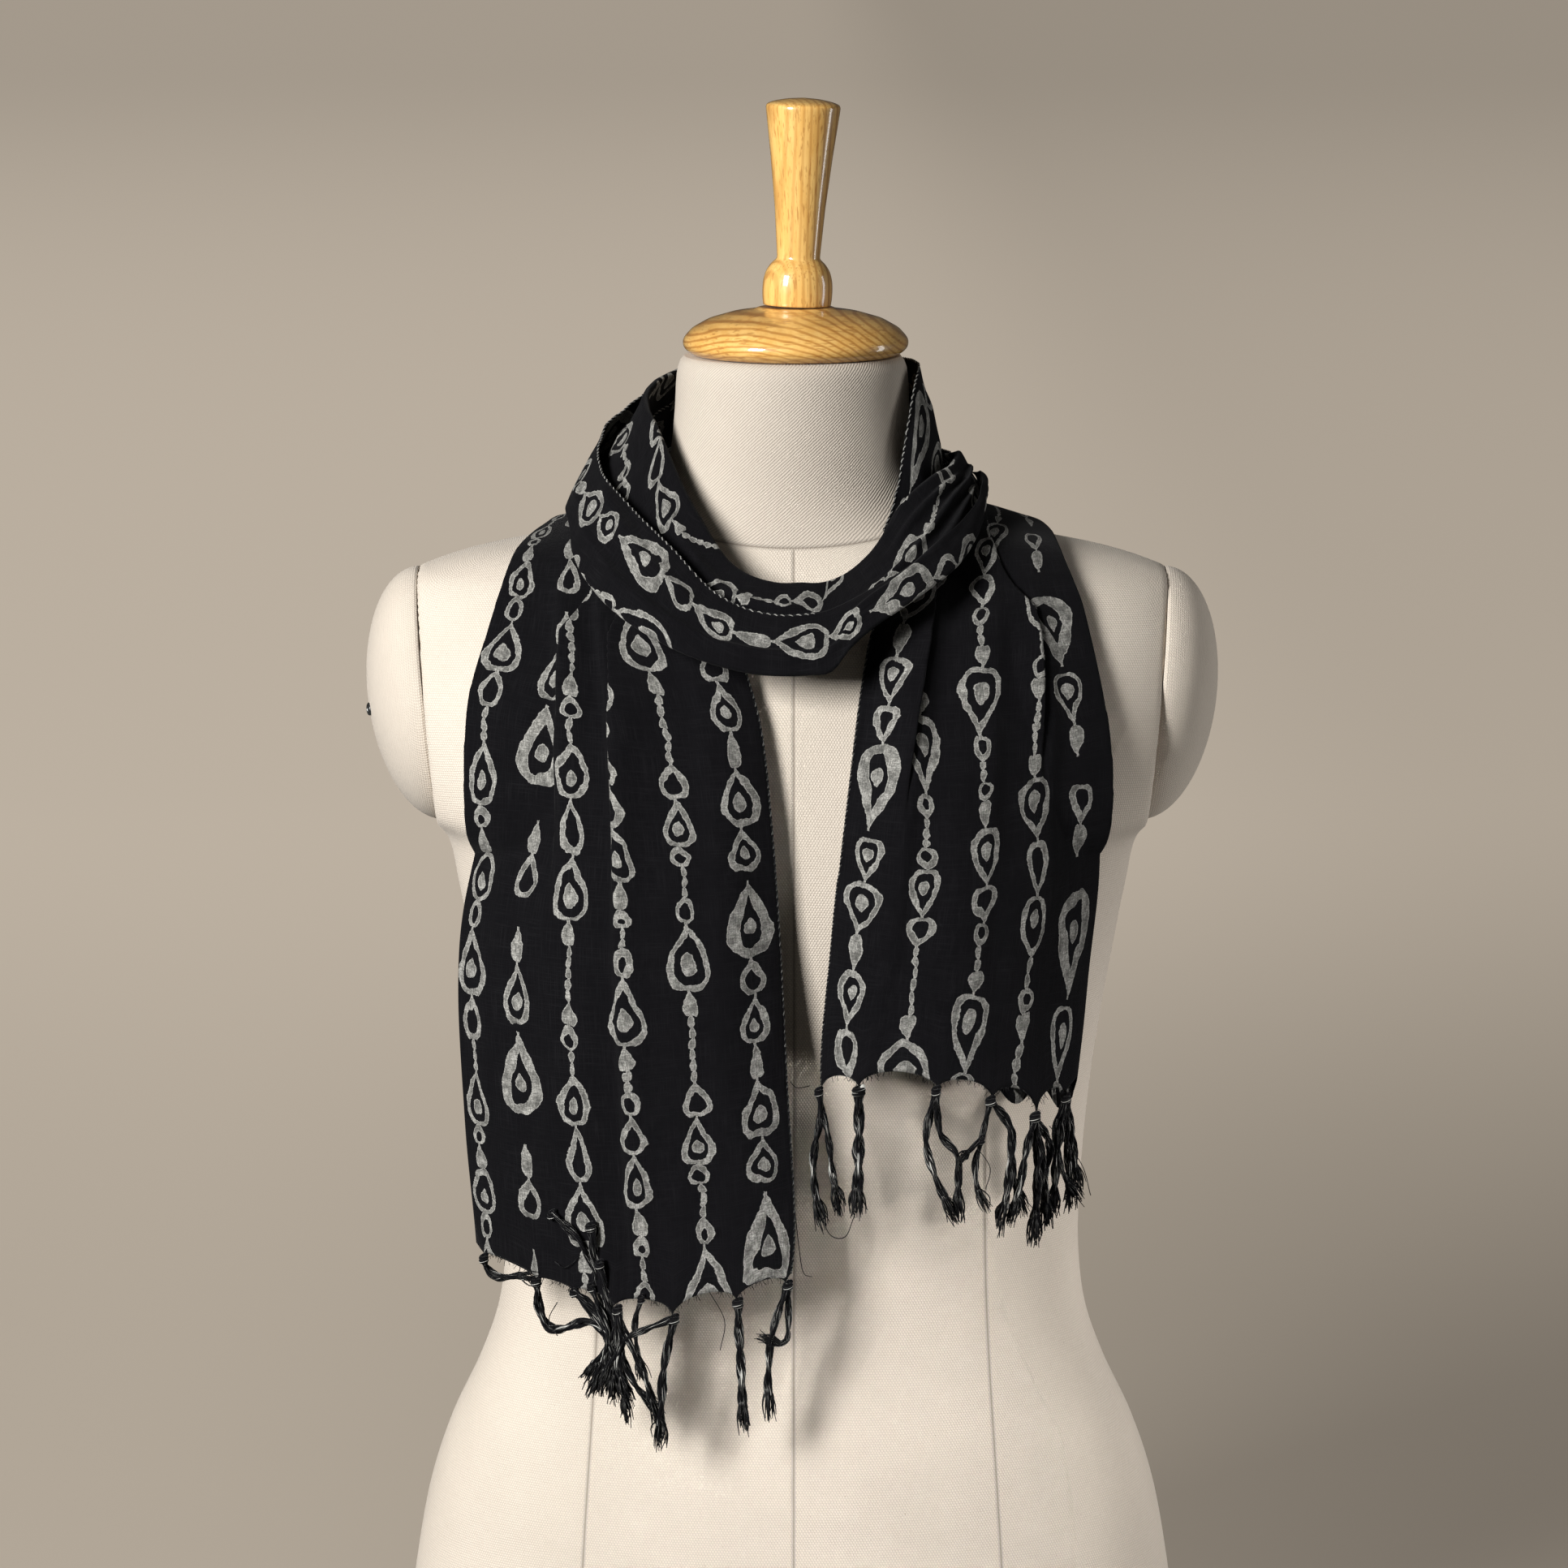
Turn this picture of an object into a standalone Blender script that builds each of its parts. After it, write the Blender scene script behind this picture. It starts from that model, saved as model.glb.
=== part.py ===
"""A cotton stole wound once round the neck of a limbless dress form.

Metres, +Z up. The origin is on the form's axis in the plane of its flat base,
and the front of the form faces -Y. Tables are in millimetres and degrees.
"""
import math

import bmesh
import bpy
import numpy as np
from mathutils import Vector
from mathutils.bvhtree import BVHTree

MM = 0.001

# ---- driving dimensions, millimetres -------------------------------------
NECK_TOP = 664.0          # height of the neck's flat top
ARM_PLANE_X = 170.5       # armhole plane at the middle of its height
ARM_PLANE_LEAN = 0.09     # how far the plane moves out for each mm of height
ARM_MIDDLE_Z = 504.0
ARM_HALF_HEIGHT = 60.0
ARM_HALF_DEPTH = 57.0
ARM_TRIM = 8.0            # the armhole plane starts this far below the cap
ARM_BULGE = 30.0          # how far the arm cap stands out from its plane
BUST_RISE = 9.0           # extra fullness over each bust cup
BUST_X, BUST_Z = 72.0, 432.0
BUST_SPREAD_X, BUST_SPREAD_Z = 42.0, 52.0
PLATE_RADIUS = 53.0       # turned neck plate
PLATE_GAP = 0.5           # air between the neck's top and the plate
HANDLE_FOOT = 23.4        # height of the handle's foot above the neck's top
HANDLE_LEAN = 1.8         # degrees, towards +X
SEAM_GAP = 0.3            # air between neighbouring pieces
CLOTH_WALL = 1.2          # thickness of every cloth wall
LAYER_STEP = 2.8          # from the middle of one folded layer to the next
BODY_CLEAR = 2.2          # least air between the form and a layer's middle
TAIL_CLEAR = 5.8          # the same for the front layer of a tail
PRESS_LOW = 540.0         # the cowl presses the pleats flat between these heights
PRESS_HIGH = 572.0
PRESS_SHARE = 0.85
STRAND_WIDTH = 3.6        # tassel strand
STRIP_HEIGHT = 2.6        # the narrow strip that the strands hang from

TORSO_SEGMENTS = 44
CAP_SEGMENTS = 26
CAP_RINGS = 6
TURN_STEPS = 32
TAIL_ROWS = 19            # sections of a tail, then columns of its two layers
TAIL_FRONT = 18
TAIL_BACK = 8
LOOP_ROWS = 24
BAND_ROWS = 14
FRINGE_CELLS = 48         # quads along the strip that the strands grow from

# height, half width, front depth, back depth, squareness of the section
TORSO_RINGS = (
    (0.0, 190.0, 118.0, 116.0, 2.25),
    (40.0, 187.0, 117.0, 119.0, 2.25),
    (80.0, 182.0, 115.0, 119.0, 2.25),
    (118.0, 175.0, 111.5, 114.0, 2.25),
    (150.0, 164.5, 107.5, 106.0, 2.25),
    (180.0, 150.5, 102.0, 97.0, 2.25),
    (208.0, 141.0, 97.5, 88.5, 2.25),
    (240.0, 137.5, 95.0, 83.0, 2.25),
    (275.0, 138.5, 96.5, 82.5, 2.25),
    (312.0, 141.5, 100.5, 86.5, 2.25),
    (350.0, 146.5, 106.5, 93.0, 2.3),
    (385.0, 152.5, 111.5, 99.0, 2.3),
    (415.0, 158.0, 114.0, 103.0, 2.35),
    (440.0, 164.0, 114.5, 105.0, 2.4),
    (455.0, 180.0, 113.5, 105.5, 2.4),
    (480.0, 190.0, 110.0, 105.0, 2.4),
    (505.0, 194.0, 103.5, 102.0, 2.4),
    (530.0, 194.0, 92.5, 95.0, 2.35),
    (548.0, 190.0, 80.5, 87.0, 2.3),
    (560.0, 182.0, 71.0, 79.0, 2.25),
    (567.0, 168.0, 66.0, 74.0, 2.2),
    (573.0, 148.0, 62.5, 70.0, 2.15),
    (578.0, 123.0, 60.0, 67.0, 2.1),
    (583.0, 102.0, 58.5, 65.0, 2.05),
    (589.0, 84.0, 57.0, 62.5, 2.0),
    (599.0, 67.5, 55.5, 59.5, 2.0),
    (613.0, 58.5, 54.8, 57.0, 2.0),
    (636.0, 55.3, 54.4, 55.0, 2.0),
    (NECK_TOP, 53.8, 54.0, 54.0, 2.0),
)

# radius, height above the neck's top: the neck plate, from its top to its foot
PLATE_PROFILE = (
    (0.0, 22.6), (17.5, 22.6), (19.0, 21.6), (30.0, 20.0), (41.0, 16.8), (48.5, 12.6),
    (52.3, 8.4), (PLATE_RADIUS, 6.0), (52.2, 3.4), (50.0, 1.6), (48.0, PLATE_GAP), (0.0, PLATE_GAP),
)

# radius, height above the plate's boss: ball and flared grip, top to foot
HANDLE_PROFILE = (
    (0.0, 96.0), (8.0, 95.6), (14.0, 94.4), (17.0, 93.2), (17.5, 92.2), (14.6, 70.0),
    (11.8, 45.0), (10.0, 21.8), (10.4, 21.2), (12.6, 19.4), (15.0, 15.8), (16.2, 11.2),
    (16.3, 6.6), (15.4, 2.6), (14.4, 0.0), (0.0, 0.0),
)

# Tails: a row for each section, hem first. The inner edge is the selvedge
# towards the middle of the chest, the outer edge is the fold at the side.
# inner x, y, z, middle x, y, z, outer x, y, z, share of the width folded behind
TAIL_LEFT = (
    (2, -126, 262, -74, -136, 250, -146, -88, 259, 0.88),
    (-2, -125, 330, -77, -136, 322, -151, -84, 320, 0.86),
    (-6, -124, 405, -79, -134, 400, -153, -78, 398, 0.82),
    (-10, -122, 460, -78, -127, 460, -142, -74, 460, 0.76),
    (-15, -110, 505, -80, -112, 505, -140, -67, 508, 0.66),
    (-25, -95, 538, -84, -90, 538, -135, -61, 534, 0.55),
    (-40, -77, 566, -87, -66, 564, -128, -45, 556, 0.45),
    (-56, -49, 590, -87, -37, 582, -121, -26, 571, 0.40),
    (-67, -14, 602, -85, -8, 592, -114, -6, 581, 0.36),
    (-69, 10, 603, -85, 14, 592, -110, 16, 582, 0.36),
)
TAIL_RIGHT = (
    (12, -124, 352, 72, -138, 347, 130, -92, 338, 0.90),
    (17, -123, 395, 76, -137, 390, 135, -88, 382, 0.86),
    (21, -122, 436, 80, -133, 432, 140, -82, 440, 0.80),
    (26, -116, 480, 82, -122, 480, 138, -75, 486, 0.72),
    (32, -99, 525, 84, -100, 524, 134, -68, 522, 0.60),
    (39, -84, 552, 85, -81, 552, 130, -58, 549, 0.50),
    (55, -62, 575, 86, -54, 574, 122, -40, 568, 0.42),
    (70, -27, 594, 93, -20, 588, 119, -16, 578, 0.36),
    (73, 6, 596, 92, 12, 589, 113, 14, 582, 0.32),
    (66, 32, 597, 82, 38, 589, 100, 42, 582, 0.30),
    (51, 48, 598, 60, 54, 590, 70, 60, 582, 0.30),
)

# Pleats of each tail: where across the front (0 inner edge, 1 outer edge) at
# the hem and at the shoulder, rise and half width in mm, and the heights where
# the pleat dies out and is full
PLEATS_LEFT = (
    (0.64, 0.70, 5.0, 9.0, 400.0, 520.0),
    (0.46, 0.52, 4.0, 7.0, 180.0, 300.0),
    (0.20, 0.16, 2.5, 16.0, 200.0, 420.0),
)
PLEATS_RIGHT = (
    (0.18, 0.30, 4.0, 12.0, 330.0, 470.0),
    (0.52, 0.58, 2.6, 14.0, 340.0, 480.0),
    (0.80, 0.80, 3.0, 10.0, 330.0, 520.0),
)

# The cowl: a row for each direction round the neck (0 front, 90 towards +X).
# angle, outer selvedge r and z, bottom fold r and z, top ridge r and z,
# sag of the second layer, shares of it that the third and fourth layers cover
LOOP = (
    (117, 94, 602, 97, 594, 84, 613, 0.0, 0.25, 0.08),
    (90, 86, 607, 89, 600, 79, 617, 0.0, 0.25, 0.08),
    (75, 88, 603, 91, 597, 78, 614, 0.0, 0.25, 0.08),
    (60, 95, 597, 99, 590, 76, 611, -1.0, 0.25, 0.08),
    (42, 100, 584, 110, 575, 76, 600, -1.0, 0.3, 0.12),
    (26, 104, 570, 117, 561, 82, 580, 0.0, 0.5, 0.3),
    (16, 106, 562, 121, 550, 85, 571, 1.0, 0.48, 0.3),
    (7, 107, 556, 123, 534, 88, 568, 2.0, 0.45, 0.3),
    (-5, 107, 555, 123, 532, 89, 568, 2.0, 0.45, 0.3),
    (-18, 104, 562, 124, 537, 87, 575, 0.0, 0.45, 0.3),
    (-33, 99, 582, 126, 550, 80, 596, -2.0, 0.45, 0.3),
    (-50, 94, 597, 120, 567, 73, 613, -2.0, 0.45, 0.3),
    (-70, 91, 611, 108, 587, 71, 630, -2.5, 0.5, 0.3),
    (-90, 86, 622, 102, 595, 71, 641, -2.5, 0.55, 0.3),
    (-112, 81, 635, 98, 602, 70, 649, -2.0, 0.55, 0.3),
    (-128, 78, 643, 96, 607, 70, 653, -1.0, 0.55, 0.3),
)

# Bands behind the neck: angle, top r and z, middle r and z, bottom r and z,
# shares of the height that the outer and the inner layer cover
BAND_LOWER = (
    (-101, 70, 604, 86, 594, 108, 584, 1.0, 0.4),
    (-122, 66, 613, 78, 599, 100, 586, 1.0, 0.45),
    (-148, 65, 618, 77, 598, 93, 578, 1.0, 0.5),
    (-175, 68, 615, 78, 594, 90, 572, 1.0, 0.5),
    (-195, 74, 611, 84, 593, 94, 572, 1.0, 0.5),
    (-212, 82, 613, 91, 597, 99, 577, 1.0, 0.4),
    (-228, 87, 614, 96, 603, 103, 588, 1.0, 0.35),
    (-242, 86, 614, 93, 605, 98, 594, 1.0, 0.3),
)
BAND_UPPER = (
    (-129, 71, 654, 84, 630, 97, 607, 0.7, 1.0),
    (-150, 67, 658, 79, 637, 92, 614, 0.74, 1.0),
    (-175, 63, 660, 73, 640, 83, 616, 0.85, 0.9),
    (-195, 61, 660, 67, 640, 73, 618, 0.95, 0.8),
    (-212, 60, 660, 65, 636, 70, 612, 0.95, 0.8),
    (-245, 59, 660, 66, 635, 71, 607, 1.0, 0.6),
    (-270, 59, 658, 67, 632, 71, 608, 1.0, 0.6),
    (-288, 60, 652, 66, 628, 70, 603, 1.0, 0.6),
    (-299, 61, 634, 66, 616, 70, 597, 1.0, 0.6),
    (-309, 62, 605, 65, 595, 68, 585, 1.0, 0.6),
    (-320, 63, 585, 65.5, 579, 68, 574, 1.0, 0.6),
)

# Tassels, each from its place along the hem (0 inner edge, 1 outer edge):
# place, length, drift of the tip in x and y
TASSELS_LEFT = (
    (0.05, 74, -8, 8), (0.24, 73, 0, 10), (0.40, 80, -4, 12), (0.47, 72, 4, 8),
    (0.54, 77, 6, 10), (0.60, 68, 4, 14), (0.66, 75, 8, 8), (0.72, 62, 12, 12),
    (0.80, 55, 18, 14), (0.93, 44, 16, 10),
)
TASSELS_RIGHT = (
    (0.05, 80, 4, 12), (0.17, 67, 4, 12), (0.42, 67, 10, 12), (0.50, 65, 16, 10),
    (0.62, 55, 8, 12), (0.72, 71, 6, 14), (0.80, 67, 8, 12), (0.87, 69, 6, 14),
    (0.95, 63, 4, 12),
)


# ---- helpers --------------------------------------------------------------
def smooth_columns(rows, places):
    """Read every column of a table at the given places by a smooth curve."""
    table = np.array(rows, dtype=float)
    order = np.argsort(table[:, 0])
    table = table[order]
    key = table[:, 0]
    slopes = np.gradient(table, key, axis=0)
    out = []
    for place in places:
        i = int(np.clip(np.searchsorted(key, place) - 1, 0, len(key) - 2))
        span = key[i + 1] - key[i]
        t = (place - key[i]) / span
        h00 = 2 * t**3 - 3 * t**2 + 1
        h10 = t**3 - 2 * t**2 + t
        h01 = -2 * t**3 + 3 * t**2
        h11 = t**3 - t**2
        out.append(h00 * table[i] + h10 * span * slopes[i]
                   + h01 * table[i + 1] + h11 * span * slopes[i + 1])
    return np.array(out)


def material(name, colour, roughness, metallic=0.0):
    """A Principled material in one colour."""
    made = bpy.data.materials.new(name)
    made.use_nodes = True
    shader = made.node_tree.nodes["Principled BSDF"]
    shader.inputs["Base Color"].default_value = (*colour, 1.0)
    shader.inputs["Roughness"].default_value = roughness
    shader.inputs["Metallic"].default_value = metallic
    return made


def add_object(name, mesh, finish, collection):
    """Link a mesh under the piece's name with its own material."""
    piece = bpy.data.objects.new(name, mesh)
    piece.data.materials.append(finish)
    collection.objects.link(piece)
    return piece


def mesh_from(points, faces, name):
    """A mesh from points in millimetres."""
    mesh = bpy.data.meshes.new(name)
    mesh.from_pydata([tuple(np.array(p) * MM) for p in points], [], faces)
    mesh.update()
    return mesh


def ring_faces(rings, around, closed_last=True):
    """Quads between rings of equal count, with a flat first end."""
    faces = []
    for i in range(rings - 1):
        for j in range(around):
            k = (j + 1) % around
            faces.append((i * around + j, i * around + k, (i + 1) * around + k, (i + 1) * around + j))
    faces.append(tuple(reversed(range(around))))
    if closed_last:
        faces.append(tuple((rings - 1) * around + j for j in range(around)))
    return faces


# ---- the dress form -------------------------------------------------------
def arm_plane(z):
    """Distance of the armhole plane from the axis at a height."""
    return ARM_PLANE_X + ARM_PLANE_LEAN * (z - ARM_MIDDLE_Z)


def torso_point(ring, turn):
    """A point on the torso's skin, turn counted from +X towards the front."""
    z, half, front, back, square = ring
    cos, sin = math.cos(turn), math.sin(turn)
    x = half * math.copysign(abs(cos) ** (2 / square), cos)
    depth = front if sin > 0 else back
    y = -depth * math.copysign(abs(sin) ** (2 / square), sin)
    if sin > 0:
        cup = math.exp(-((abs(x) - BUST_X) / BUST_SPREAD_X) ** 2 - ((z - BUST_Z) / BUST_SPREAD_Z) ** 2)
        y -= BUST_RISE * cup * sin
    limit = arm_plane(z) - SEAM_GAP
    if z > ARM_MIDDLE_Z - ARM_HALF_HEIGHT - ARM_TRIM:
        x = max(-limit, min(limit, x))
    return (x, y, z)


def build_torso(finish, collection):
    """Hips to neck in one loft of squared ovals."""
    points = []
    for ring in TORSO_RINGS:
        for j in range(TORSO_SEGMENTS):
            points.append(torso_point(ring, -2 * math.pi * j / TORSO_SEGMENTS))
    faces = ring_faces(len(TORSO_RINGS), TORSO_SEGMENTS)
    mesh = mesh_from(points, faces, "torso")
    for face in mesh.polygons:
        face.use_smooth = len(face.vertices) == 4
    return add_object("torso", mesh, finish, collection)


def build_arm_cap(name, side, finish, collection):
    """A padded cap on the armhole plane, side +1 or -1."""
    points = []
    for i in range(CAP_RINGS):
        share = math.cos(math.pi / 2 * i / CAP_RINGS)
        rise = ARM_BULGE * math.sqrt(1 - share ** 2)
        for j in range(CAP_SEGMENTS):
            turn = 2 * math.pi * j / CAP_SEGMENTS
            z = ARM_MIDDLE_Z + ARM_HALF_HEIGHT * share * math.sin(turn)
            y = ARM_HALF_DEPTH * share * math.cos(turn)
            points.append((side * (arm_plane(z) + rise), y, z))
    faces = ring_faces(CAP_RINGS, CAP_SEGMENTS, closed_last=False)
    tip = len(points)
    points.append((side * (arm_plane(ARM_MIDDLE_Z) + ARM_BULGE), 0.0, ARM_MIDDLE_Z))
    last = (CAP_RINGS - 1) * CAP_SEGMENTS
    for j in range(CAP_SEGMENTS):
        faces.append((last + j, last + (j + 1) % CAP_SEGMENTS, tip))
    if side < 0:
        faces = [tuple(reversed(face)) for face in faces]
    mesh = mesh_from(points, faces, name)
    for face in mesh.polygons:
        face.use_smooth = len(face.vertices) < 5
    return add_object(name, mesh, finish, collection)


def build_turned(name, profile, base_z, finish, collection):
    """A turned piece: its profile and a Screw modifier."""
    mesh = bpy.data.meshes.new(name)
    corners = [(r * MM, 0.0, z * MM) for r, z in profile]
    mesh.from_pydata(corners, [(i, i + 1) for i in range(len(corners) - 1)], [])
    piece = add_object(name, mesh, finish, collection)
    piece.location = (0.0, 0.0, base_z * MM)
    turn = piece.modifiers.new("turn", "SCREW")
    turn.steps = TURN_STEPS
    turn.render_steps = TURN_STEPS
    turn.use_merge_vertices = True
    turn.merge_threshold = 0.00005
    turn.use_smooth_shade = True
    return piece


# ---- the cloth ------------------------------------------------------------
def skin_tree(piece):
    """The form's skin, to measure how near the cloth lies."""
    mesh = piece.data
    return BVHTree.FromPolygons([v.co for v in mesh.vertices], [tuple(p.vertices) for p in mesh.polygons])


def push_off(tree, point, clear):
    """Move a point straight off the form's skin until it is clear of it."""
    spot = Vector(point) * MM
    near, normal, _index, _distance = tree.find_nearest(spot)
    depth = (spot - near).dot(normal)
    if depth < clear * MM:
        spot = near + normal * clear * MM
    return np.array(spot) / MM


def surface_normals(grid):
    """Unit normals of a grid of points, rows first."""
    along = np.gradient(grid, axis=0)
    across = np.gradient(grid, axis=1)
    normal = np.cross(across, along)
    return normal / np.linalg.norm(normal, axis=2, keepdims=True)


def three_point(a, b, c, t):
    """The smooth curve through three points at t = 0, 0.5 and 1."""
    return (a * (2 * (t - 0.5) * (t - 1)) + b * (4 * t * (1 - t)) + c * (2 * t * (t - 0.5)))


def pleat_rise(across, height, width, top, pleats):
    """How far the pleats lift the front layer at a place across it."""
    rise = 0.0
    for at_hem, at_top, lift, half, fades, full in pleats:
        share = min(1.0, max(0.0, (height - pleats_low(pleats)) / (top - pleats_low(pleats))))
        middle = at_hem + (at_top - at_hem) * share
        strength = min(1.0, max(0.0, (height - fades) / (full - fades)))
        offset = (across - middle) * width
        steep = half * (0.45 if offset > 0 else 1.4)
        rise += lift * strength * math.exp(-(offset / steep) ** 2)
    pressed = min(1.0, max(0.0, (height - PRESS_LOW) / (PRESS_HIGH - PRESS_LOW)))
    return rise * (1 - PRESS_SHARE * pressed)


def pleats_low(pleats):
    """The height where the lowest pleat begins."""
    return min(row[4] for row in pleats)


def cloth_object(name, grid, finish, collection):
    """A cloth wall: an open grid of quads with Solidify."""
    rows, columns = grid.shape[:2]
    faces = []
    for i in range(rows - 1):
        for j in range(columns - 1):
            a = i * columns + j
            faces.append((a, a + 1, a + columns + 1, a + columns))
    mesh = mesh_from(grid.reshape(-1, 3), faces, name)
    piece = add_object(name, mesh, finish, collection)
    wall = piece.modifiers.new("wall", "SOLIDIFY")
    wall.thickness = CLOTH_WALL * MM
    wall.offset = 0.0
    wall.use_even_offset = True
    wall.use_quality_normals = True
    return piece


def tail_grid(table, pleats, tree, side):
    """Sections of a tail: the front layer, the outer fold, the layer behind."""
    keyed = [(i, *row) for i, row in enumerate(table)]
    places = np.linspace(0, len(table) - 1, TAIL_ROWS)
    read = smooth_columns(keyed, places)[:, 1:]
    top = table[-1][2]
    front = np.zeros((TAIL_ROWS, TAIL_FRONT, 3))
    for i, row in enumerate(read):
        for j in range(TAIL_FRONT):
            t = j / (TAIL_FRONT - 1)
            spot = three_point(row[0:3], row[3:6], row[6:9], t)
            front[i, j] = push_off(tree, spot, TAIL_CLEAR)
    out = surface_normals(front) * side
    grid = []
    for i, row in enumerate(read):
        width = np.linalg.norm(front[i, -1] - front[i, 0])
        line = []
        for j in range(TAIL_FRONT):
            t = j / (TAIL_FRONT - 1)
            rise = pleat_rise(t, front[i, j][2], width, top, pleats)
            line.append(front[i, j] + out[i, j] * rise)
        edge = front[i, -1] - front[i, -2]
        edge /= np.linalg.norm(edge)
        radius = LAYER_STEP / 2
        for k in range(1, 4):
            turn = math.pi * k / 4
            line.append(front[i, -1] + edge * radius * math.sin(turn) - out[i, -1] * radius * (1 - math.cos(turn)))
        for k in range(TAIL_BACK):
            t = 1 - row[9] * k / (TAIL_BACK - 1)
            j = t * (TAIL_FRONT - 1)
            low = int(min(TAIL_FRONT - 2, math.floor(j)))
            blend = j - low
            spot = front[i, low] * (1 - blend) + front[i, low + 1] * blend
            normal = out[i, low] * (1 - blend) + out[i, low + 1] * blend
            line.append(push_off(tree, spot - normal * LAYER_STEP, BODY_CLEAR))
        grid.append(line)
    return np.array(grid)


def polar(angle, r, z):
    """A point at an angle round the neck, 0 at the front, 90 at +X."""
    turn = math.radians(angle)
    return np.array((r * math.sin(turn), -r * math.cos(turn), z))


def offset_path(path, distance):
    """A copy of a section path moved sideways, to its left."""
    along = np.gradient(path, axis=0)
    along /= np.linalg.norm(along, axis=1, keepdims=True)
    return path + distance * np.stack((-along[:, 1], along[:, 0]), axis=1)


def fold(start, end, away, steps=3):
    """Points of a half circle from start to end, bulging away."""
    middle = (start + end) / 2
    reach = np.linalg.norm(end - start) / 2
    points = []
    for k in range(1, steps + 1):
        turn = math.pi * k / (steps + 1)
        points.append(middle + (start - middle) * math.cos(turn) + away * reach * math.sin(turn))
    return points


def part_of_path(path, start, end, count):
    """Points of a path between two shares of its run."""
    at = np.linspace(start, end, count) * (len(path) - 1)
    index = np.arange(len(path))
    return np.stack((np.interp(at, index, path[:, 0]), np.interp(at, index, path[:, 1])), axis=1)


def loop_section(row):
    """One section of the cowl in (r, z): four layers from selvedge to selvedge."""
    _angle, edge_r, edge_z, low_r, low_z, top_r, top_z, sag, third, fourth = row
    low, top, edge = np.array((low_r, low_z)), np.array((top_r, top_z)), np.array((edge_r, edge_z))
    run = (top - low) / np.linalg.norm(top - low)
    outward = np.array((run[1], -run[0]))
    share = np.linspace(0, 1, 9)[:, None]
    second = low + (top - low) * share + outward * sag * 4 * share * (1 - share)
    lift = max(LAYER_STEP, float(np.dot(edge - low, outward)) + LAYER_STEP)
    along = float(np.dot(edge - low, run))
    first = []
    for t in np.linspace(1, 0, 5):
        belly = 2.0 * 4 * t * (1 - t)
        first.append(low + run * along * t + outward * (LAYER_STEP + (lift - LAYER_STEP) * t + belly))
    third_path = part_of_path(offset_path(second, LAYER_STEP), 1.0, 1.0 - third, 5)
    fourth_path = part_of_path(offset_path(second, 2 * LAYER_STEP), 1.0 - third, 1.0 - fourth, 4)
    points = list(first)
    points += fold(first[-1], second[0], -run)
    points += list(second)
    points += fold(second[-1], third_path[0], run)
    points += list(third_path)
    points += fold(third_path[-1], fourth_path[0], -run)
    points += list(fourth_path)
    return points


def loop_grid():
    """The cowl from its right end round the front to its left end."""
    angles = np.linspace(LOOP[0][0], LOOP[-1][0], LOOP_ROWS)
    grid = []
    for row in smooth_columns(LOOP, angles):
        grid.append([polar(row[0], r, z) for r, z in loop_section(row)])
    return np.array(grid)


def band_grid(table, tree):
    """A band behind the neck: outer layer, bottom fold, inner layer."""
    angles = np.linspace(table[0][0], table[-1][0], BAND_ROWS)
    grid = []
    for row in smooth_columns(table, angles):
        angle, top_r, top_z, mid_r, mid_z, low_r, low_z, outside, inside = row
        top, mid, low = np.array((top_r, top_z)), np.array((mid_r, mid_z)), np.array((low_r, low_z))
        whole = np.array([three_point(top, mid, low, t) for t in np.linspace(0, 1, 9)])
        outer = part_of_path(whole, 1.0 - outside, 1.0, 7)
        inner = part_of_path(offset_path(whole, -LAYER_STEP), 1.0, 1.0 - inside, 6)
        run = (low - mid) / np.linalg.norm(low - mid)
        path = list(outer) + fold(outer[-1], inner[0], run) + list(inner)
        line = []
        for k, (r, z) in enumerate(path):
            clear = BODY_CLEAR + (LAYER_STEP if k < len(outer) else 0.0)
            line.append(push_off(tree, polar(angle, r, z), clear))
        grid.append(line)
    return np.array(grid)


# ---- tassels ----------------------------------------------------------------
def build_fringe(name, hem, tassels, finish, collection):
    """A narrow strip below the hem whose underside runs out into strands."""
    cells = FRINGE_CELLS
    down = np.array((0.0, 0.0, STRIP_HEIGHT))
    steps = np.linspace(0, len(hem) - 1, cells + 1)
    index = np.arange(len(hem))
    line = np.stack([np.interp(steps, index, hem[:, k]) for k in range(3)], axis=1)
    line[:, 2] -= CLOTH_WALL / 2 + SEAM_GAP
    along = np.gradient(line, axis=0)
    along[:, 2] = 0.0
    along /= np.linalg.norm(along, axis=1, keepdims=True)
    thick = np.stack((-along[:, 1], along[:, 0], np.zeros(cells + 1)), axis=1) * CLOTH_WALL / 2
    points, faces = [], []
    for i in range(cells + 1):
        points += [line[i] + thick[i], line[i] - thick[i], line[i] - thick[i] - down, line[i] + thick[i] - down]
    rooted = {}
    for row in tassels:
        rooted[min(cells - 1, int(round(row[0] * cells)))] = row
    for i in range(cells):
        a, b = 4 * i, 4 * i + 4
        faces += [(a, b, b + 1, a + 1), (a + 1, b + 1, b + 2, a + 2), (a + 3, b + 3, b, a)]
        if i not in rooted:
            faces.append((a + 2, b + 2, b + 3, a + 3))
            continue
        faces += grow_strand(points, (a + 2, b + 2, b + 3, a + 3), rooted[i], along[i])
    faces += [(0, 1, 2, 3), tuple(4 * cells + k for k in (3, 2, 1, 0))]
    mesh = mesh_from(points, faces, name)
    shape = bmesh.new()
    shape.from_mesh(mesh)
    bmesh.ops.recalc_face_normals(shape, faces=shape.faces)
    shape.to_mesh(mesh)
    shape.free()
    return add_object(name, mesh, finish, collection)


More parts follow.
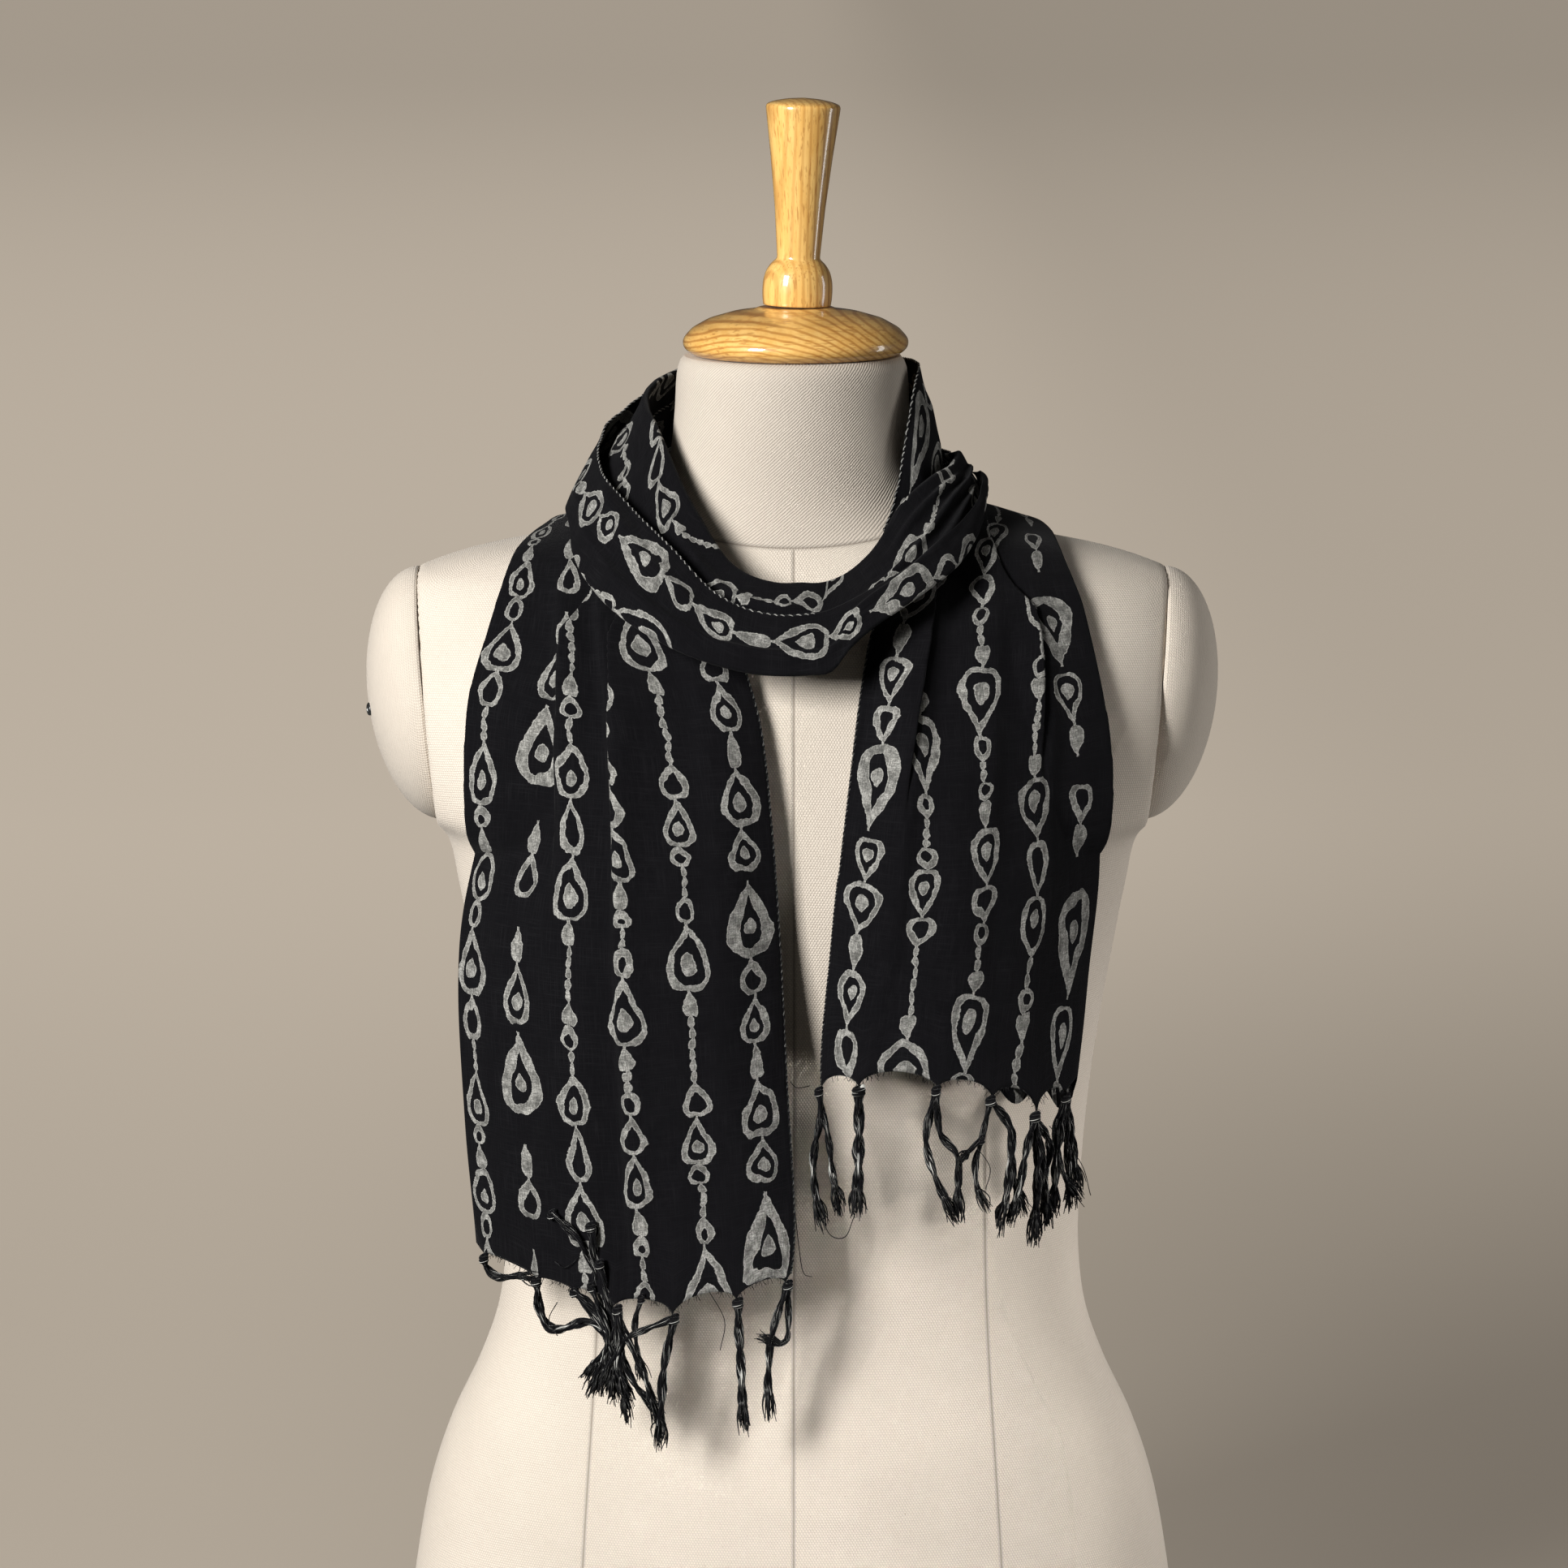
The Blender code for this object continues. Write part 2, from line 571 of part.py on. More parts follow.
def grow_strand(points, root, row, along):
    """Sides and end of one four-sided strand that grows from a root face."""
    _place, length, drift_x, drift_y = row
    corner = [np.array(points[k]) for k in root]
    centre = sum(corner) / 4
    across = np.array((along[1], -along[0], 0.0))
    faces = []
    last = root
    shares = (0.06, 0.2, 0.4, 0.6, 0.8, 0.9, 1.0)
    widths = (1.0, 0.75, 0.85, 0.75, 0.85, 1.15, 0.7)
    for share, width in zip(shares, widths):
        middle = centre + np.array((drift_x * share ** 1.5, drift_y * share ** 1.3, -length * share))
        half = STRAND_WIDTH * width / 2
        first = len(points)
        points += [middle - along * half + across * half, middle + along * half + across * half,
                   middle + along * half - across * half, middle - along * half - across * half]
        ring = (first, first + 1, first + 2, first + 3)
        for k in range(4):
            n = (k + 1) % 4
            faces.append((last[k], last[n], ring[n], ring[k]))
        last = ring
    faces.append(last)
    return faces


def main():
    for old in list(bpy.data.objects):
        bpy.data.objects.remove(old, do_unlink=True)
    parts = bpy.data.collections.new("stole_on_dress_form")
    bpy.context.scene.collection.children.link(parts)

    canvas = material("form_canvas", (0.73, 0.66, 0.56), 0.9)
    wood = material("varnished_wood", (0.62, 0.36, 0.12), 0.25)
    torso = build_torso(canvas, parts)
    build_arm_cap("arm_cap_left", -1, canvas.copy(), parts)
    build_arm_cap("arm_cap_right", 1, canvas.copy(), parts)
    build_turned("neck_plate", PLATE_PROFILE, NECK_TOP, wood, parts)
    handle = build_turned("cap_handle", HANDLE_PROFILE, NECK_TOP + HANDLE_FOOT, wood.copy(), parts)
    handle.rotation_euler = (0.0, math.radians(HANDLE_LEAN), 0.0)

    tree = skin_tree(torso)
    cotton = material("printed_cotton", (0.012, 0.012, 0.016), 0.85)
    left = tail_grid(TAIL_LEFT, PLEATS_LEFT, tree, -1)
    right = tail_grid(TAIL_RIGHT, PLEATS_RIGHT, tree, 1)
    cloth_object("tail_left", left, cotton, parts)
    cloth_object("tail_right", right, cotton.copy(), parts)
    cloth_object("loop_front", loop_grid(), cotton.copy(), parts)
    cloth_object("neck_band_lower", band_grid(BAND_LOWER, tree), cotton.copy(), parts)
    cloth_object("neck_band_upper", band_grid(BAND_UPPER, tree), cotton.copy(), parts)
    build_fringe("fringe_left", left[0][:TAIL_FRONT], TASSELS_LEFT, cotton.copy(), parts)
    build_fringe("fringe_right", right[0][:TAIL_FRONT], TASSELS_RIGHT, cotton.copy(), parts)


main()
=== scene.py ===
"""A printed cotton stole, worn on a canvas dress form with a turned wood cap."""
import math

import bpy
import numpy as np
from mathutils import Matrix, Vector, noise
from mathutils.bvhtree import BVHTree


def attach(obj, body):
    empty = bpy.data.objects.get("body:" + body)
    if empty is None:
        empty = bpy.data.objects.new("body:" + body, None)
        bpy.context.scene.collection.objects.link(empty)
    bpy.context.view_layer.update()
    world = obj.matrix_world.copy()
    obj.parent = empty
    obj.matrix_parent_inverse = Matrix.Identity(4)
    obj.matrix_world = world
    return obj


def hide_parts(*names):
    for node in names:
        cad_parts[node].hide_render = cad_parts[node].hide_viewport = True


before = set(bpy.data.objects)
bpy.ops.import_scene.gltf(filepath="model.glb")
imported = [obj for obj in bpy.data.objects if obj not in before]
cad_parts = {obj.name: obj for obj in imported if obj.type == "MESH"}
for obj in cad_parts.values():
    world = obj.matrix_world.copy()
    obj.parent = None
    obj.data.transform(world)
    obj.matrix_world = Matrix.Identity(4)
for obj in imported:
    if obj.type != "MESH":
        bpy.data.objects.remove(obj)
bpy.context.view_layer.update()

MM = 0.001
TURN = 2 * math.pi
rng = np.random.default_rng(11)

# ---- sizes shared with the solids, millimetres ----
NECK_TOP = 664.0
NECK_RADIUS = 54.5
ARM_PLANE_X, ARM_PLANE_LEAN = 170.5, 0.09
ARM_MIDDLE_Z, ARM_HALF_HEIGHT, ARM_HALF_DEPTH = 504.0, 60.0, 57.0
ARM_TRIM, ARM_BULGE = 8.0, 30.0
BUST_RISE, BUST_X, BUST_Z = 9.0, 72.0, 432.0
BUST_SPREAD_X, BUST_SPREAD_Z = 42.0, 52.0
HANDLE_FOOT, HANDLE_LEAN = 23.4, 1.8
SEAM_GAP = 0.3
RIVET = (-198.7, -18.0, 499.0)

# ---- the cloth's own sizes ----
CLOTH = 0.45              # thickness of the cotton as it is shown
LAYER_STEP = 2.8          # between the layers of a turned fold
LAID_STEP = 1.5           # between the layers of a fold laid flat
LAID_WIDTH = 13.0         # the most cloth that one laid fold hides
BODY_CLEAR, TAIL_CLEAR = 2.2, 5.8           # hidden layers and tails keep this far off the form
PRESS_LOW, PRESS_HIGH = 540.0, 572.0        # between these heights the cowl presses the tails flat
PRESS_SHARE, FOLD_PRESS = 0.85, 0.5         # how far it flattens their ridges and their folds
KNOT_PULL, KNOT_WIDTH, KNOT_HEIGHT = 0.95, 10.0, 12.0
HEM_HEIGHT = 22.0         # how far up the layer behind swings with its hem
SIDE_FOLD = 4.0           # width of cloth that runs round a tail's outer fold
LEFT_CUT, RIGHT_CUT = 172.0, 150.0          # width of cloth in each tail's front layer
LEFT_COLUMNS, RIGHT_COLUMNS = 130, 118      # points across each tail's front layer
LOW_BAND_FROM, COWL_FROM, HIGH_BAND_FROM = 380.0, 600.0, 1000.0     # how far along the cloth each starts
CLOTH_LENGTH = 1500.0
THREAD_LEAD = (0.31, 0.87, 0.38)            # a direction that no thread runs along
SPUN_TO = 0.86            # share of a tassel that is wound, the rest is frayed
HAIRS, HAIRS_WIDER = 17, 11                 # frayed ends of a tassel, and how many more for each mm of radius
NEAR_KNOT_X, NEAR_KNOT_Z = 8.0, 12.0        # a strand that starts this near a knot hangs from it
OVER_FROM = 252.0         # strands lie over the left hem above this height
SWAY_IN, SWAY_OVER = 7.0, 70.0              # how far a strand's end hangs inward, for how long a strand
FUZZ = 170                # short ends of yarn along each hem
SELVEDGE_TO = 6.0         # angle where the cowl's selvedge turns under
SELVEDGE_PITCH = 3.4

# Rings of the torso: height, half width, depth in front, depth behind, squareness
TORSO_RINGS = (
    (0, 190, 118, 116, 2.25), (40, 187, 117, 119, 2.25), (80, 182, 115, 119, 2.25),
    (118, 175, 111.5, 114, 2.25), (150, 164.5, 107.5, 106, 2.25), (180, 150.5, 102, 97, 2.25),
    (208, 141, 97.5, 88.5, 2.25), (240, 137.5, 95, 83, 2.25), (275, 138.5, 96.5, 82.5, 2.25),
    (312, 141.5, 100.5, 86.5, 2.25), (350, 146.5, 106.5, 93, 2.3), (385, 152.5, 111.5, 99, 2.3),
    (415, 158, 114, 103, 2.35), (440, 164, 114.5, 105, 2.4), (455, 180, 113.5, 105.5, 2.4),
    (480, 190, 110, 105, 2.4), (505, 194, 103.5, 102, 2.4), (530, 194, 92.5, 95, 2.35),
    (548, 190, 80.5, 87, 2.3), (560, 182, 71, 79, 2.25), (567, 168, 66, 74, 2.2), (573, 148, 62.5, 70, 2.15),
    (578, 123, 60, 67, 2.1), (583, 102, 58.5, 65, 2.05), (589, 84, 57, 62.5, 2), (599, 67.5, 55.5, 59.5, 2),
    (613, 58.5, 54.8, 57, 2), (636, 55.3, 54.4, 55, 2), (652, 54.4, 54.2, 54.5, 2), (660, 53.2, 53.2, 53.3, 2),
    (NECK_TOP, 50.6, 50.6, 50.6, 2),
)
# The wood cap: radius and height of each corner
PLATE_PROFILE = (
    (0.5, 22.6), (17.5, 22.6), (19, 21.6), (30, 20), (41, 16.8), (48.5, 12.6), (52.3, 8.4), (53, 6),
    (52.2, 3.4), (50, 1.6), (48, 0.5), (0.5, 0.5),
)
HANDLE_PROFILE = (
    (0.4, 96.2), (8, 95.6), (14, 94.4), (17, 93.2), (17.5, 92.2), (14.6, 70), (11.8, 45), (10, 21.8),
    (10.4, 21.2), (12.6, 19.4), (15, 15.8), (16.2, 11.2), (16.4, 6.6), (16.2, 2.6), (15.8, 0), (0.4, 0),
)

# Tails: three points of a section (x, y, z each) and the share behind
TAIL_LEFT = (
    (2, -126, 262, -74, -136, 250, -146, -88, 259, 0.88), (-2, -125, 330, -77, -136, 322, -151, -84, 320, 0.86),
    (-6, -124, 405, -79, -134, 400, -153, -78, 398, 0.82),
    (-10, -122, 460, -78, -127, 460, -142, -74, 460, 0.76),
    (-15, -110, 505, -80, -112, 505, -140, -67, 508, 0.66),
    (-25, -95, 538, -84, -90, 538, -135, -61, 534, 0.55), (-40, -77, 566, -87, -66, 564, -128, -45, 556, 0.45),
    (-56, -49, 590, -87, -37, 582, -121, -26, 571, 0.4), (-67, -14, 602, -85, -8, 592, -114, -6, 581, 0.36),
    (-69, 10, 603, -85, 14, 592, -110, 16, 582, 0.36),
)
TAIL_RIGHT = (
    (12, -124, 355, 72, -138, 353, 130, -92, 341, 0.9), (17, -123, 395, 76, -137, 390, 135, -88, 382, 0.86),
    (21, -122, 436, 80, -133, 432, 140, -82, 440, 0.8), (26, -116, 480, 82, -122, 480, 138, -75, 486, 0.72),
    (32, -99, 525, 84, -100, 524, 134, -68, 522, 0.6), (39, -84, 552, 85, -81, 552, 130, -58, 549, 0.5),
    (55, -62, 575, 86, -54, 574, 122, -40, 568, 0.42), (70, -27, 594, 93, -20, 588, 119, -16, 578, 0.36),
    (73, 6, 596, 92, 12, 589, 113, 14, 582, 0.32), (66, 32, 597, 82, 38, 589, 100, 42, 582, 0.3),
    (51, 48, 598, 60, 54, 590, 70, 60, 582, 0.3),
)
# Soft ridges: share across at the hem and at the top, lift, half width, fades at, full at
RIDGES_LEFT = ((0.64, 0.7, 5, 9, 400, 520), (0.46, 0.52, 4, 7, 180, 300), (0.2, 0.16, 2.5, 16, 200, 420))
RIDGES_RIGHT = ((0.18, 0.3, 4, 12, 330, 470), (0.52, 0.58, 2.6, 14, 340, 480), (0.8, 0.8, 3, 10, 330, 520))
# Folds laid over themselves: share across at the hem and at the top, height
# where it starts, height where it is full, share of the hidden width
FOLDS_LEFT = ((0.44, 0.5, 215, 330, 0.5), (0.66, 0.7, 390, 470, 0.5))
FOLDS_RIGHT = ((0.17, 0.3, 440, 520, 0.5), (0.8, 0.76, 450, 540, 0.5))

# The cowl: angle, first selvedge r and z, lower fold r and z, upper fold r and
# z, sag, shares of the third and fourth layers
LOOP = (
    (117, 94, 602, 97, 594, 84, 613, 0, 0.25, 0.08), (90, 86, 607, 89, 600, 79, 617, 0, 0.25, 0.08),
    (75, 88, 603, 91, 597, 78, 614, 0, 0.25, 0.08), (60, 95, 597, 99, 590, 76, 611, -1, 0.25, 0.08),
    (42, 100, 584, 110, 575, 76, 600, -1, 0.3, 0.12), (26, 104, 570, 117, 561, 82, 580, 0, 0.5, 0.3),
    (16, 106, 562, 121, 550, 85, 571, 1, 0.48, 0.3), (12, 106.5, 559, 122, 543, 86.5, 569, 1.5, 0.46, 0.3),
    (8.5, 107, 557, 123, 534, 88, 568, 2, 0.45, 0.3), (3, 107, 555, 123, 532, 88, 568, 2, 0.45, 0.3),
    (-5, 107, 555, 123, 532, 89, 568, 2, 0.45, 0.3), (-18, 104, 562, 124, 537, 87, 575, 0, 0.45, 0.3),
    (-33, 99, 582, 126, 550, 80, 596, -2, 0.45, 0.3), (-50, 94, 597, 120, 567, 72, 615, -2, 0.6, 0.3),
    (-70, 91, 611, 108, 587, 70, 634, -2.5, 0.72, 0.3), (-90, 86, 622, 102, 595, 70, 643, -2.5, 0.8, 0.3),
    (-112, 81, 635, 98, 602, 70, 649, -2, 0.8, 0.3), (-128, 78, 643, 96, 607, 70, 653, -1, 0.8, 0.3),
)
# Creases of the cowl: from angle, to angle, share of its height at each, lift, half width as a share
CREASES = (
    (6, 84, 0.26, 0.4, 2.6, 0.06), (14, 100, 0.5, 0.66, 3, 0.05), (26, 78, 0.8, 0.82, 2, 0.045),
    (-118, -14, 0.62, 0.4, 2, 0.07), (-86, 24, 0.2, 0.14, 1.8, 0.05), (-60, 8, 0.86, 0.7, 1.8, 0.05),
)
# Bands behind the neck: angle, top, middle and bottom r and z, shares of the
# outer and the inner layer
BAND_LOWER = (
    (-101, 70, 604, 86, 594, 108, 584, 1, 0.4), (-122, 66, 613, 78, 599, 100, 586, 1, 0.45),
    (-148, 65, 618, 77, 598, 93, 578, 1, 0.5), (-175, 68, 615, 78, 594, 90, 572, 1, 0.5),
    (-195, 74, 611, 84, 593, 94, 572, 1, 0.5), (-212, 82, 613, 91, 597, 99, 577, 1, 0.4),
    (-228, 87, 614, 96, 603, 103, 588, 1, 0.35), (-242, 86, 614, 93, 605, 98, 594, 1, 0.3),
)
BAND_UPPER = (
    (-129, 71, 654, 84, 630, 97, 607, 0.7, 1), (-150, 67, 658, 79, 637, 92, 614, 0.74, 1),
    (-175, 63, 660, 73, 640, 83, 616, 0.85, 0.9), (-195, 61, 660, 67, 640, 73, 618, 0.95, 0.8),
    (-212, 60, 660, 65, 636, 70, 612, 0.95, 0.8), (-245, 59, 660, 66, 635, 71, 607, 1, 0.6),
    (-270, 59, 658, 67, 632, 71, 608, 1, 0.6), (-288, 60, 652, 66, 628, 70, 603, 1, 0.6),
    (-299, 61, 634, 66, 616, 70, 597, 1, 0.6), (-309, 62, 605, 65, 595, 68, 585, 1, 0.6),
    (-320, 63, 585, 65.5, 579, 68, 574, 1, 0.6),
)
# Creases of the bands: lift, share down, sway, its rate and its start, half width
BAND_CREASES = ((1.9, 0.34, 0.12, 2.3, 0, 0.08), (1.5, 0.68, 0.09, 3.1, 1, 0.07))

# Knots of the hems: x and z of each
KNOTS_LEFT = ((-2, 251), (-25, 245), (-54, 238), (-80, 241), (-100, 247), (-118, 249), (-143, 255))
KNOTS_RIGHT = ((12, 341), (30, 344), (65, 345), (90, 338), (111, 327), (126, 332))
# How the layer behind hangs at each hem: share in from the side fold, drop, half width as a share
LOBES_LEFT = ((0.35, 3, 0.08), (0.75, -5, 0.25))
LOBES_RIGHT = ((0.14, 18, 0.09), (0.38, 16, 0.1), (0.85, -9, 0.28))
# Tassel strands: ply radius, then x and z of each point that it hangs through
STRANDS_LEFT = (
    (1.5, -25, 247, -24, 221, -23, 184), (1.3, -7, 251, -9, 228, -11, 209, -11, 189),
    (1.1, -7, 250, -2, 232, -3, 224, -8, 223, -10, 229), (1.4, -54, 240, -59, 213, -60, 198, -61, 177),
    (1, -69, 247, -72, 232, -69, 209), (1.2, -84, 246, -82, 226, -90, 214, -95, 205),
    (1.2, -92, 250, -84, 226, -88, 210, -93, 197), (1.2, -97, 247, -86, 228, -82, 212, -82, 198),
    (1.3, -80, 244, -80, 226, -78, 205, -76, 188), (1.2, -74, 245, -79, 224, -72, 204, -61, 194),
    (1.5, -92, 279, -91, 268, -88, 252, -84, 226, -80, 206),
    (1.3, -110, 282, -102, 276, -94, 266, -88, 248, -83, 225),
    (1.5, -119, 251, -116, 232, -109, 226, -92, 233, -83, 222, -79, 201),
    (1.3, -143, 255, -142, 249, -136, 246, -126, 249, -119, 249),
    (1.3, -100, 247, -92, 240, -84, 226, -86, 212, -88, 200), (1.4, -80, 241, -78, 226, -83, 214, -85, 203),
    (1.2, -88, 262, -84, 244, -81, 224, -86, 210, -92, 203),
    (1.2, -80, 241, -76, 228, -69, 214, -64, 196, -62, 186),
    (1.1, -60, 241, -66, 232, -76, 226, -80, 214, -74, 198),
)
STRANDS_RIGHT = (
    (1.2, 10, 340, 13, 329, 10, 311, 11, 292, 15, 277), (1.1, 10, 340, 14, 329, 16, 320, 18, 303, 21, 285),
    (1.8, 30, 345, 30, 314, 29, 285), (1.3, 65, 346, 61, 324, 63, 309, 68, 296, 75, 283),
    (1.2, 65, 346, 67, 324, 75, 312, 76, 292, 80, 285), (1.1, 88, 334, 86, 320, 83, 307, 85, 294, 90, 287),
    (0.9, 86, 320, 80, 314, 76, 311), (1.4, 95, 338, 99, 322, 99, 301, 95, 274),
    (1.3, 96, 338, 100, 322, 101, 301, 107, 283), (1.5, 112, 328, 113, 301, 111, 268),
    (1.4, 113, 328, 115, 301, 117, 274), (1.4, 120, 331, 122, 306, 121, 278),
    (1.4, 126, 334, 129, 311, 131, 296, 133, 289), (1.3, 126, 334, 126, 311, 129, 279),
    (1.3, 111, 328, 107, 310, 104, 292, 100, 278), (1.3, 111, 328, 119, 308, 116, 290, 121, 276),
    (1.2, 126, 334, 121, 316, 125, 296, 134, 282),
)
# Loose single threads: x and z of each point
LOOSE_LEFT = (
    (1, 286, 3, 268, 5, 256, 9, 254), (-97, 264, -104, 257, -109, 259), (-108, 240, -112, 231, -108, 224),
    (-38, 250, -31, 236, -33, 222),
)
LOOSE_RIGHT = (
    (12, 286, 17, 274, 24, 274, 28, 284), (8, 343, 2, 342, -1, 345), (84, 316, 90, 306, 88, 296),
    (118, 320, 133, 300, 138, 284),
)

# The print: half width, pointedness, line width and core share of each motif
MOTIFS = {
    "great": (12.0, 1.5, 5.0, 0.24), "large": (10.0, 1.4, 2.8, 0.34), "middle": (7.8, 1.3, 2.5, 0.32),
    "open": (6.8, 1.2, 2.6, 0.0), "oval": (8.2, 0.5, 2.4, 0.34), "ring": (4.6, 0.3, 2.1, 0.0),
    "seed": (3.8, 1.2, 9.0, 0.0), "bead": (1.7, 0.3, 9.0, 0.0), "gap": (0.0, 1.0, 1.0, 0.0),
}
# Strings of the print: each motif and its length along the cloth, in order
STRINGS = (
    "great 38 gap 4 middle 22 large 27 seed 17 middle 23 open 18",
    "bead 5 " * 6 + "seed 11 large 33 ring 11 bead 5 bead 5 bead 4 ring 9 middle 22 open 16",
    "middle 24 open 17 ring 10 bead 5 bead 5 seed 10 large 31 ring 12 bead 4 bead 5 ring 8 seed 12",
    "bead 5 " * 5 + "seed 11 large 29 open 25 oval 24 bead 6 bead 6 ring 10 seed 12",
    "great 36 gap 3 middle 27 seed 16 gap 12 open 19 seed 15 gap 14",
    "oval 22 seed 13 ring 9 middle 25 bead 4 bead 5 bead 5 open 20 large 30 ring 12",
)
STEM = 0.75               # half width of the line that joins the motifs of a string
PITCH = 29.5              # from one string to the next
REPEAT = 150.0            # length of the print's repeat
LONGEST, SHARPEST = 40.0, 4.0               # what 1 stands for in the print's tables


# ---- curves and sections ----
def smooth_columns(rows, places):
    """Read every column of a table at the given places by a smooth curve."""
    table = np.array(rows, dtype=float)
    table = table[np.argsort(table[:, 0])]
    key = table[:, 0]
    slopes = np.gradient(table, key, axis=0)
    low = np.clip(np.searchsorted(key, places) - 1, 0, len(key) - 2)
    span = (key[low + 1] - key[low])[:, None]
    t = (np.asarray(places)[:, None] - key[low][:, None]) / span
    return ((2 * t**3 - 3 * t**2 + 1) * table[low] + (t**3 - 2 * t**2 + t) * span * slopes[low]
            + (3 * t**2 - 2 * t**3) * table[low + 1] + (t**3 - t**2) * span * slopes[low + 1])


def run_length(points):
    """Distance along a path at each of its points."""
    steps = np.linalg.norm(np.diff(points, axis=0), axis=1)
    return np.concatenate(((0.0,), np.cumsum(steps)))


def run_round(grid):
    """Distance round each ring of a grid at its points, and at the first again."""
    closed = np.concatenate((grid, grid[:, :1]), axis=1)
    steps = np.linalg.norm(np.diff(closed, axis=1), axis=2)
    return np.concatenate((np.zeros((len(grid), 1)), np.cumsum(steps, axis=1)), axis=1)


def points_at(places, along, path):
    """Points of a path at places, where along gives the place of each of its own."""
    return np.stack([np.interp(places, along, path[:, k]) for k in range(path.shape[1])], axis=1)


def even_rows(table, count, read_path):
    """A table read at rows that lie evenly along a path through its columns."""
    keyed = [(i, *row) for i, row in enumerate(table)]
    fine = np.linspace(0, len(table) - 1, 400)
    along = run_length(smooth_columns(keyed, fine)[:, 1:][:, read_path])
    places = np.interp(np.linspace(0, along[-1], count), along, fine)
    return smooth_columns(keyed, places)[:, 1:]


def three_point(a, b, c, t):
    """The smooth curve through three points at t = 0, 0.5 and 1."""
    return a * (2 * (t - 0.5) * (t - 1)) + b * (4 * t * (1 - t)) + c * (2 * t * (t - 0.5))


def spline(points, step):
    """A smooth path through points, resampled evenly."""
    points = np.asarray(points, dtype=float)
    keyed = np.column_stack((np.arange(len(points)), points))
    fine = smooth_columns(keyed, np.linspace(0, len(points) - 1, 40 * len(points)))[:, 1:]
    along = run_length(fine)
    return points_at(np.linspace(0, along[-1], max(3, int(along[-1] / step))), along, fine)


def unit(vectors):
    """The vectors at length one."""
    return vectors / np.maximum(np.linalg.norm(vectors, axis=-1, keepdims=True), 1e-9)


def swing(turn, side, up):
    """A direction turned from one vector toward another."""
    return np.cos(turn) * side + np.sin(turn) * up


def across_path(path, lead):
    """Two directions square to a path at each of its points."""
    tangent = unit(np.gradient(path, axis=0))
    side = unit(np.cross(tangent, lead))
    return side, np.cross(tangent, side)


def ramp(value, low, high):
    """0 below low, 1 above high, smooth between."""
    t = np.clip((np.asarray(value, dtype=float) - low) / (high - low), 0.0, 1.0)
    return t * t * (3 - 2 * t)


def surface_normals(grid):
    """Unit normals of a grid of points, rows first."""
    return unit(np.cross(np.gradient(grid, axis=1), np.gradient(grid, axis=0)))


def ripple(points, scale, seed):
    """Smooth noise from -1 to 1 at points, scale in millimetres for each axis."""
    flat = points.reshape(-1, 3) / np.asarray(scale)
    values = [noise.noise(Vector((p[0] + seed, p[1], p[2]))) for p in flat]
    return np.array(values).reshape(points.shape[:-1])


# ---- meshes ----
def make_object(name, points, faces, corner_maps, finish):
    """A smooth mesh object from points in millimetres, with a map in metres."""
    mesh = bpy.data.meshes.new(name)
    mesh.from_pydata((np.asarray(points) * MM).tolist(), [], faces)
    mesh.uv_layers.new(name="cloth").data.foreach_set("uv", np.asarray(corner_maps, dtype=np.float32).ravel())
    mesh.polygons.foreach_set("use_smooth", [True] * len(mesh.polygons))
    mesh.materials.append(finish)
    mesh.update()
    piece = bpy.data.objects.new(name, mesh)
    bpy.context.scene.collection.objects.link(piece)
    return piece


def hand_over(piece, slot, *nodes):
    """Set a piece on the part's one body, in place of its nodes; the slot is not used."""
    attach(piece, "root")
    if nodes:
        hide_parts(*nodes)
    return piece


def cloth_piece(name, grid, across, along, finish, node):
    """A thin shell on a grid of points, with its place in the cloth as its map."""
    rows, columns = grid.shape[:2]
    index = np.arange(rows * columns).reshape(rows, columns)
    faces = np.stack((index[:-1, :-1], index[:-1, 1:], index[1:, 1:], index[1:, :-1]), axis=-1).reshape(-1, 4)
    place = np.stack((across, along), axis=-1).reshape(-1, 2) * MM
    piece = make_object(name, grid.reshape(-1, 3), faces.tolist(), place[faces.ravel()], finish)
    wall = piece.modifiers.new("wall", "SOLIDIFY")
    wall.thickness = CLOTH * MM
    wall.offset = 0.0
    return hand_over(piece, "cotton", node)


def tube_faces(rows, columns, across, up, first=0):
    """Faces of a closed tube of rings, and the map of its side, read from two
    grids that are one column wider."""
    i, j = np.meshgrid(np.arange(rows - 1), np.arange(columns), indexing="ij")
    k = (j + 1) % columns
    sides = np.stack((i * columns + j, i * columns + k, (i + 1) * columns + k, (i + 1) * columns + j), axis=-1)
    corners = ((i, j), (i, j + 1), (i + 1, j + 1), (i + 1, j))
    maps = np.stack([np.stack((across[at], up[at]), axis=-1) for at in corners], axis=2)
    last = first + (rows - 1) * columns
    ends = [list(range(first + columns - 1, first - 1, -1)), list(range(last, last + columns))]
    return (sides + first).reshape(-1, 4).tolist() + ends, maps.reshape(-1, 2)


def ring_piece(name, grid, across, finish, node, slot):
    """A closed form from rings of points, with the run round and up as its map."""
    rows, columns = grid.shape[:2]
    up = np.zeros((rows, columns + 1))
    up[1:, :-1] = np.cumsum(np.linalg.norm(np.diff(grid, axis=0), axis=2), axis=0)
    up[:, -1] = up[:, 0]
    faces, maps = tube_faces(rows, columns, across, up)
    maps = np.concatenate((maps, grid[0, ::-1, :2], grid[-1, :, :2])) * MM
    piece = make_object(name, grid.reshape(-1, 3), faces, maps, finish)
    for end in (-2, -1):
        piece.data.polygons[end].use_smooth = False
    return hand_over(piece, slot, node)


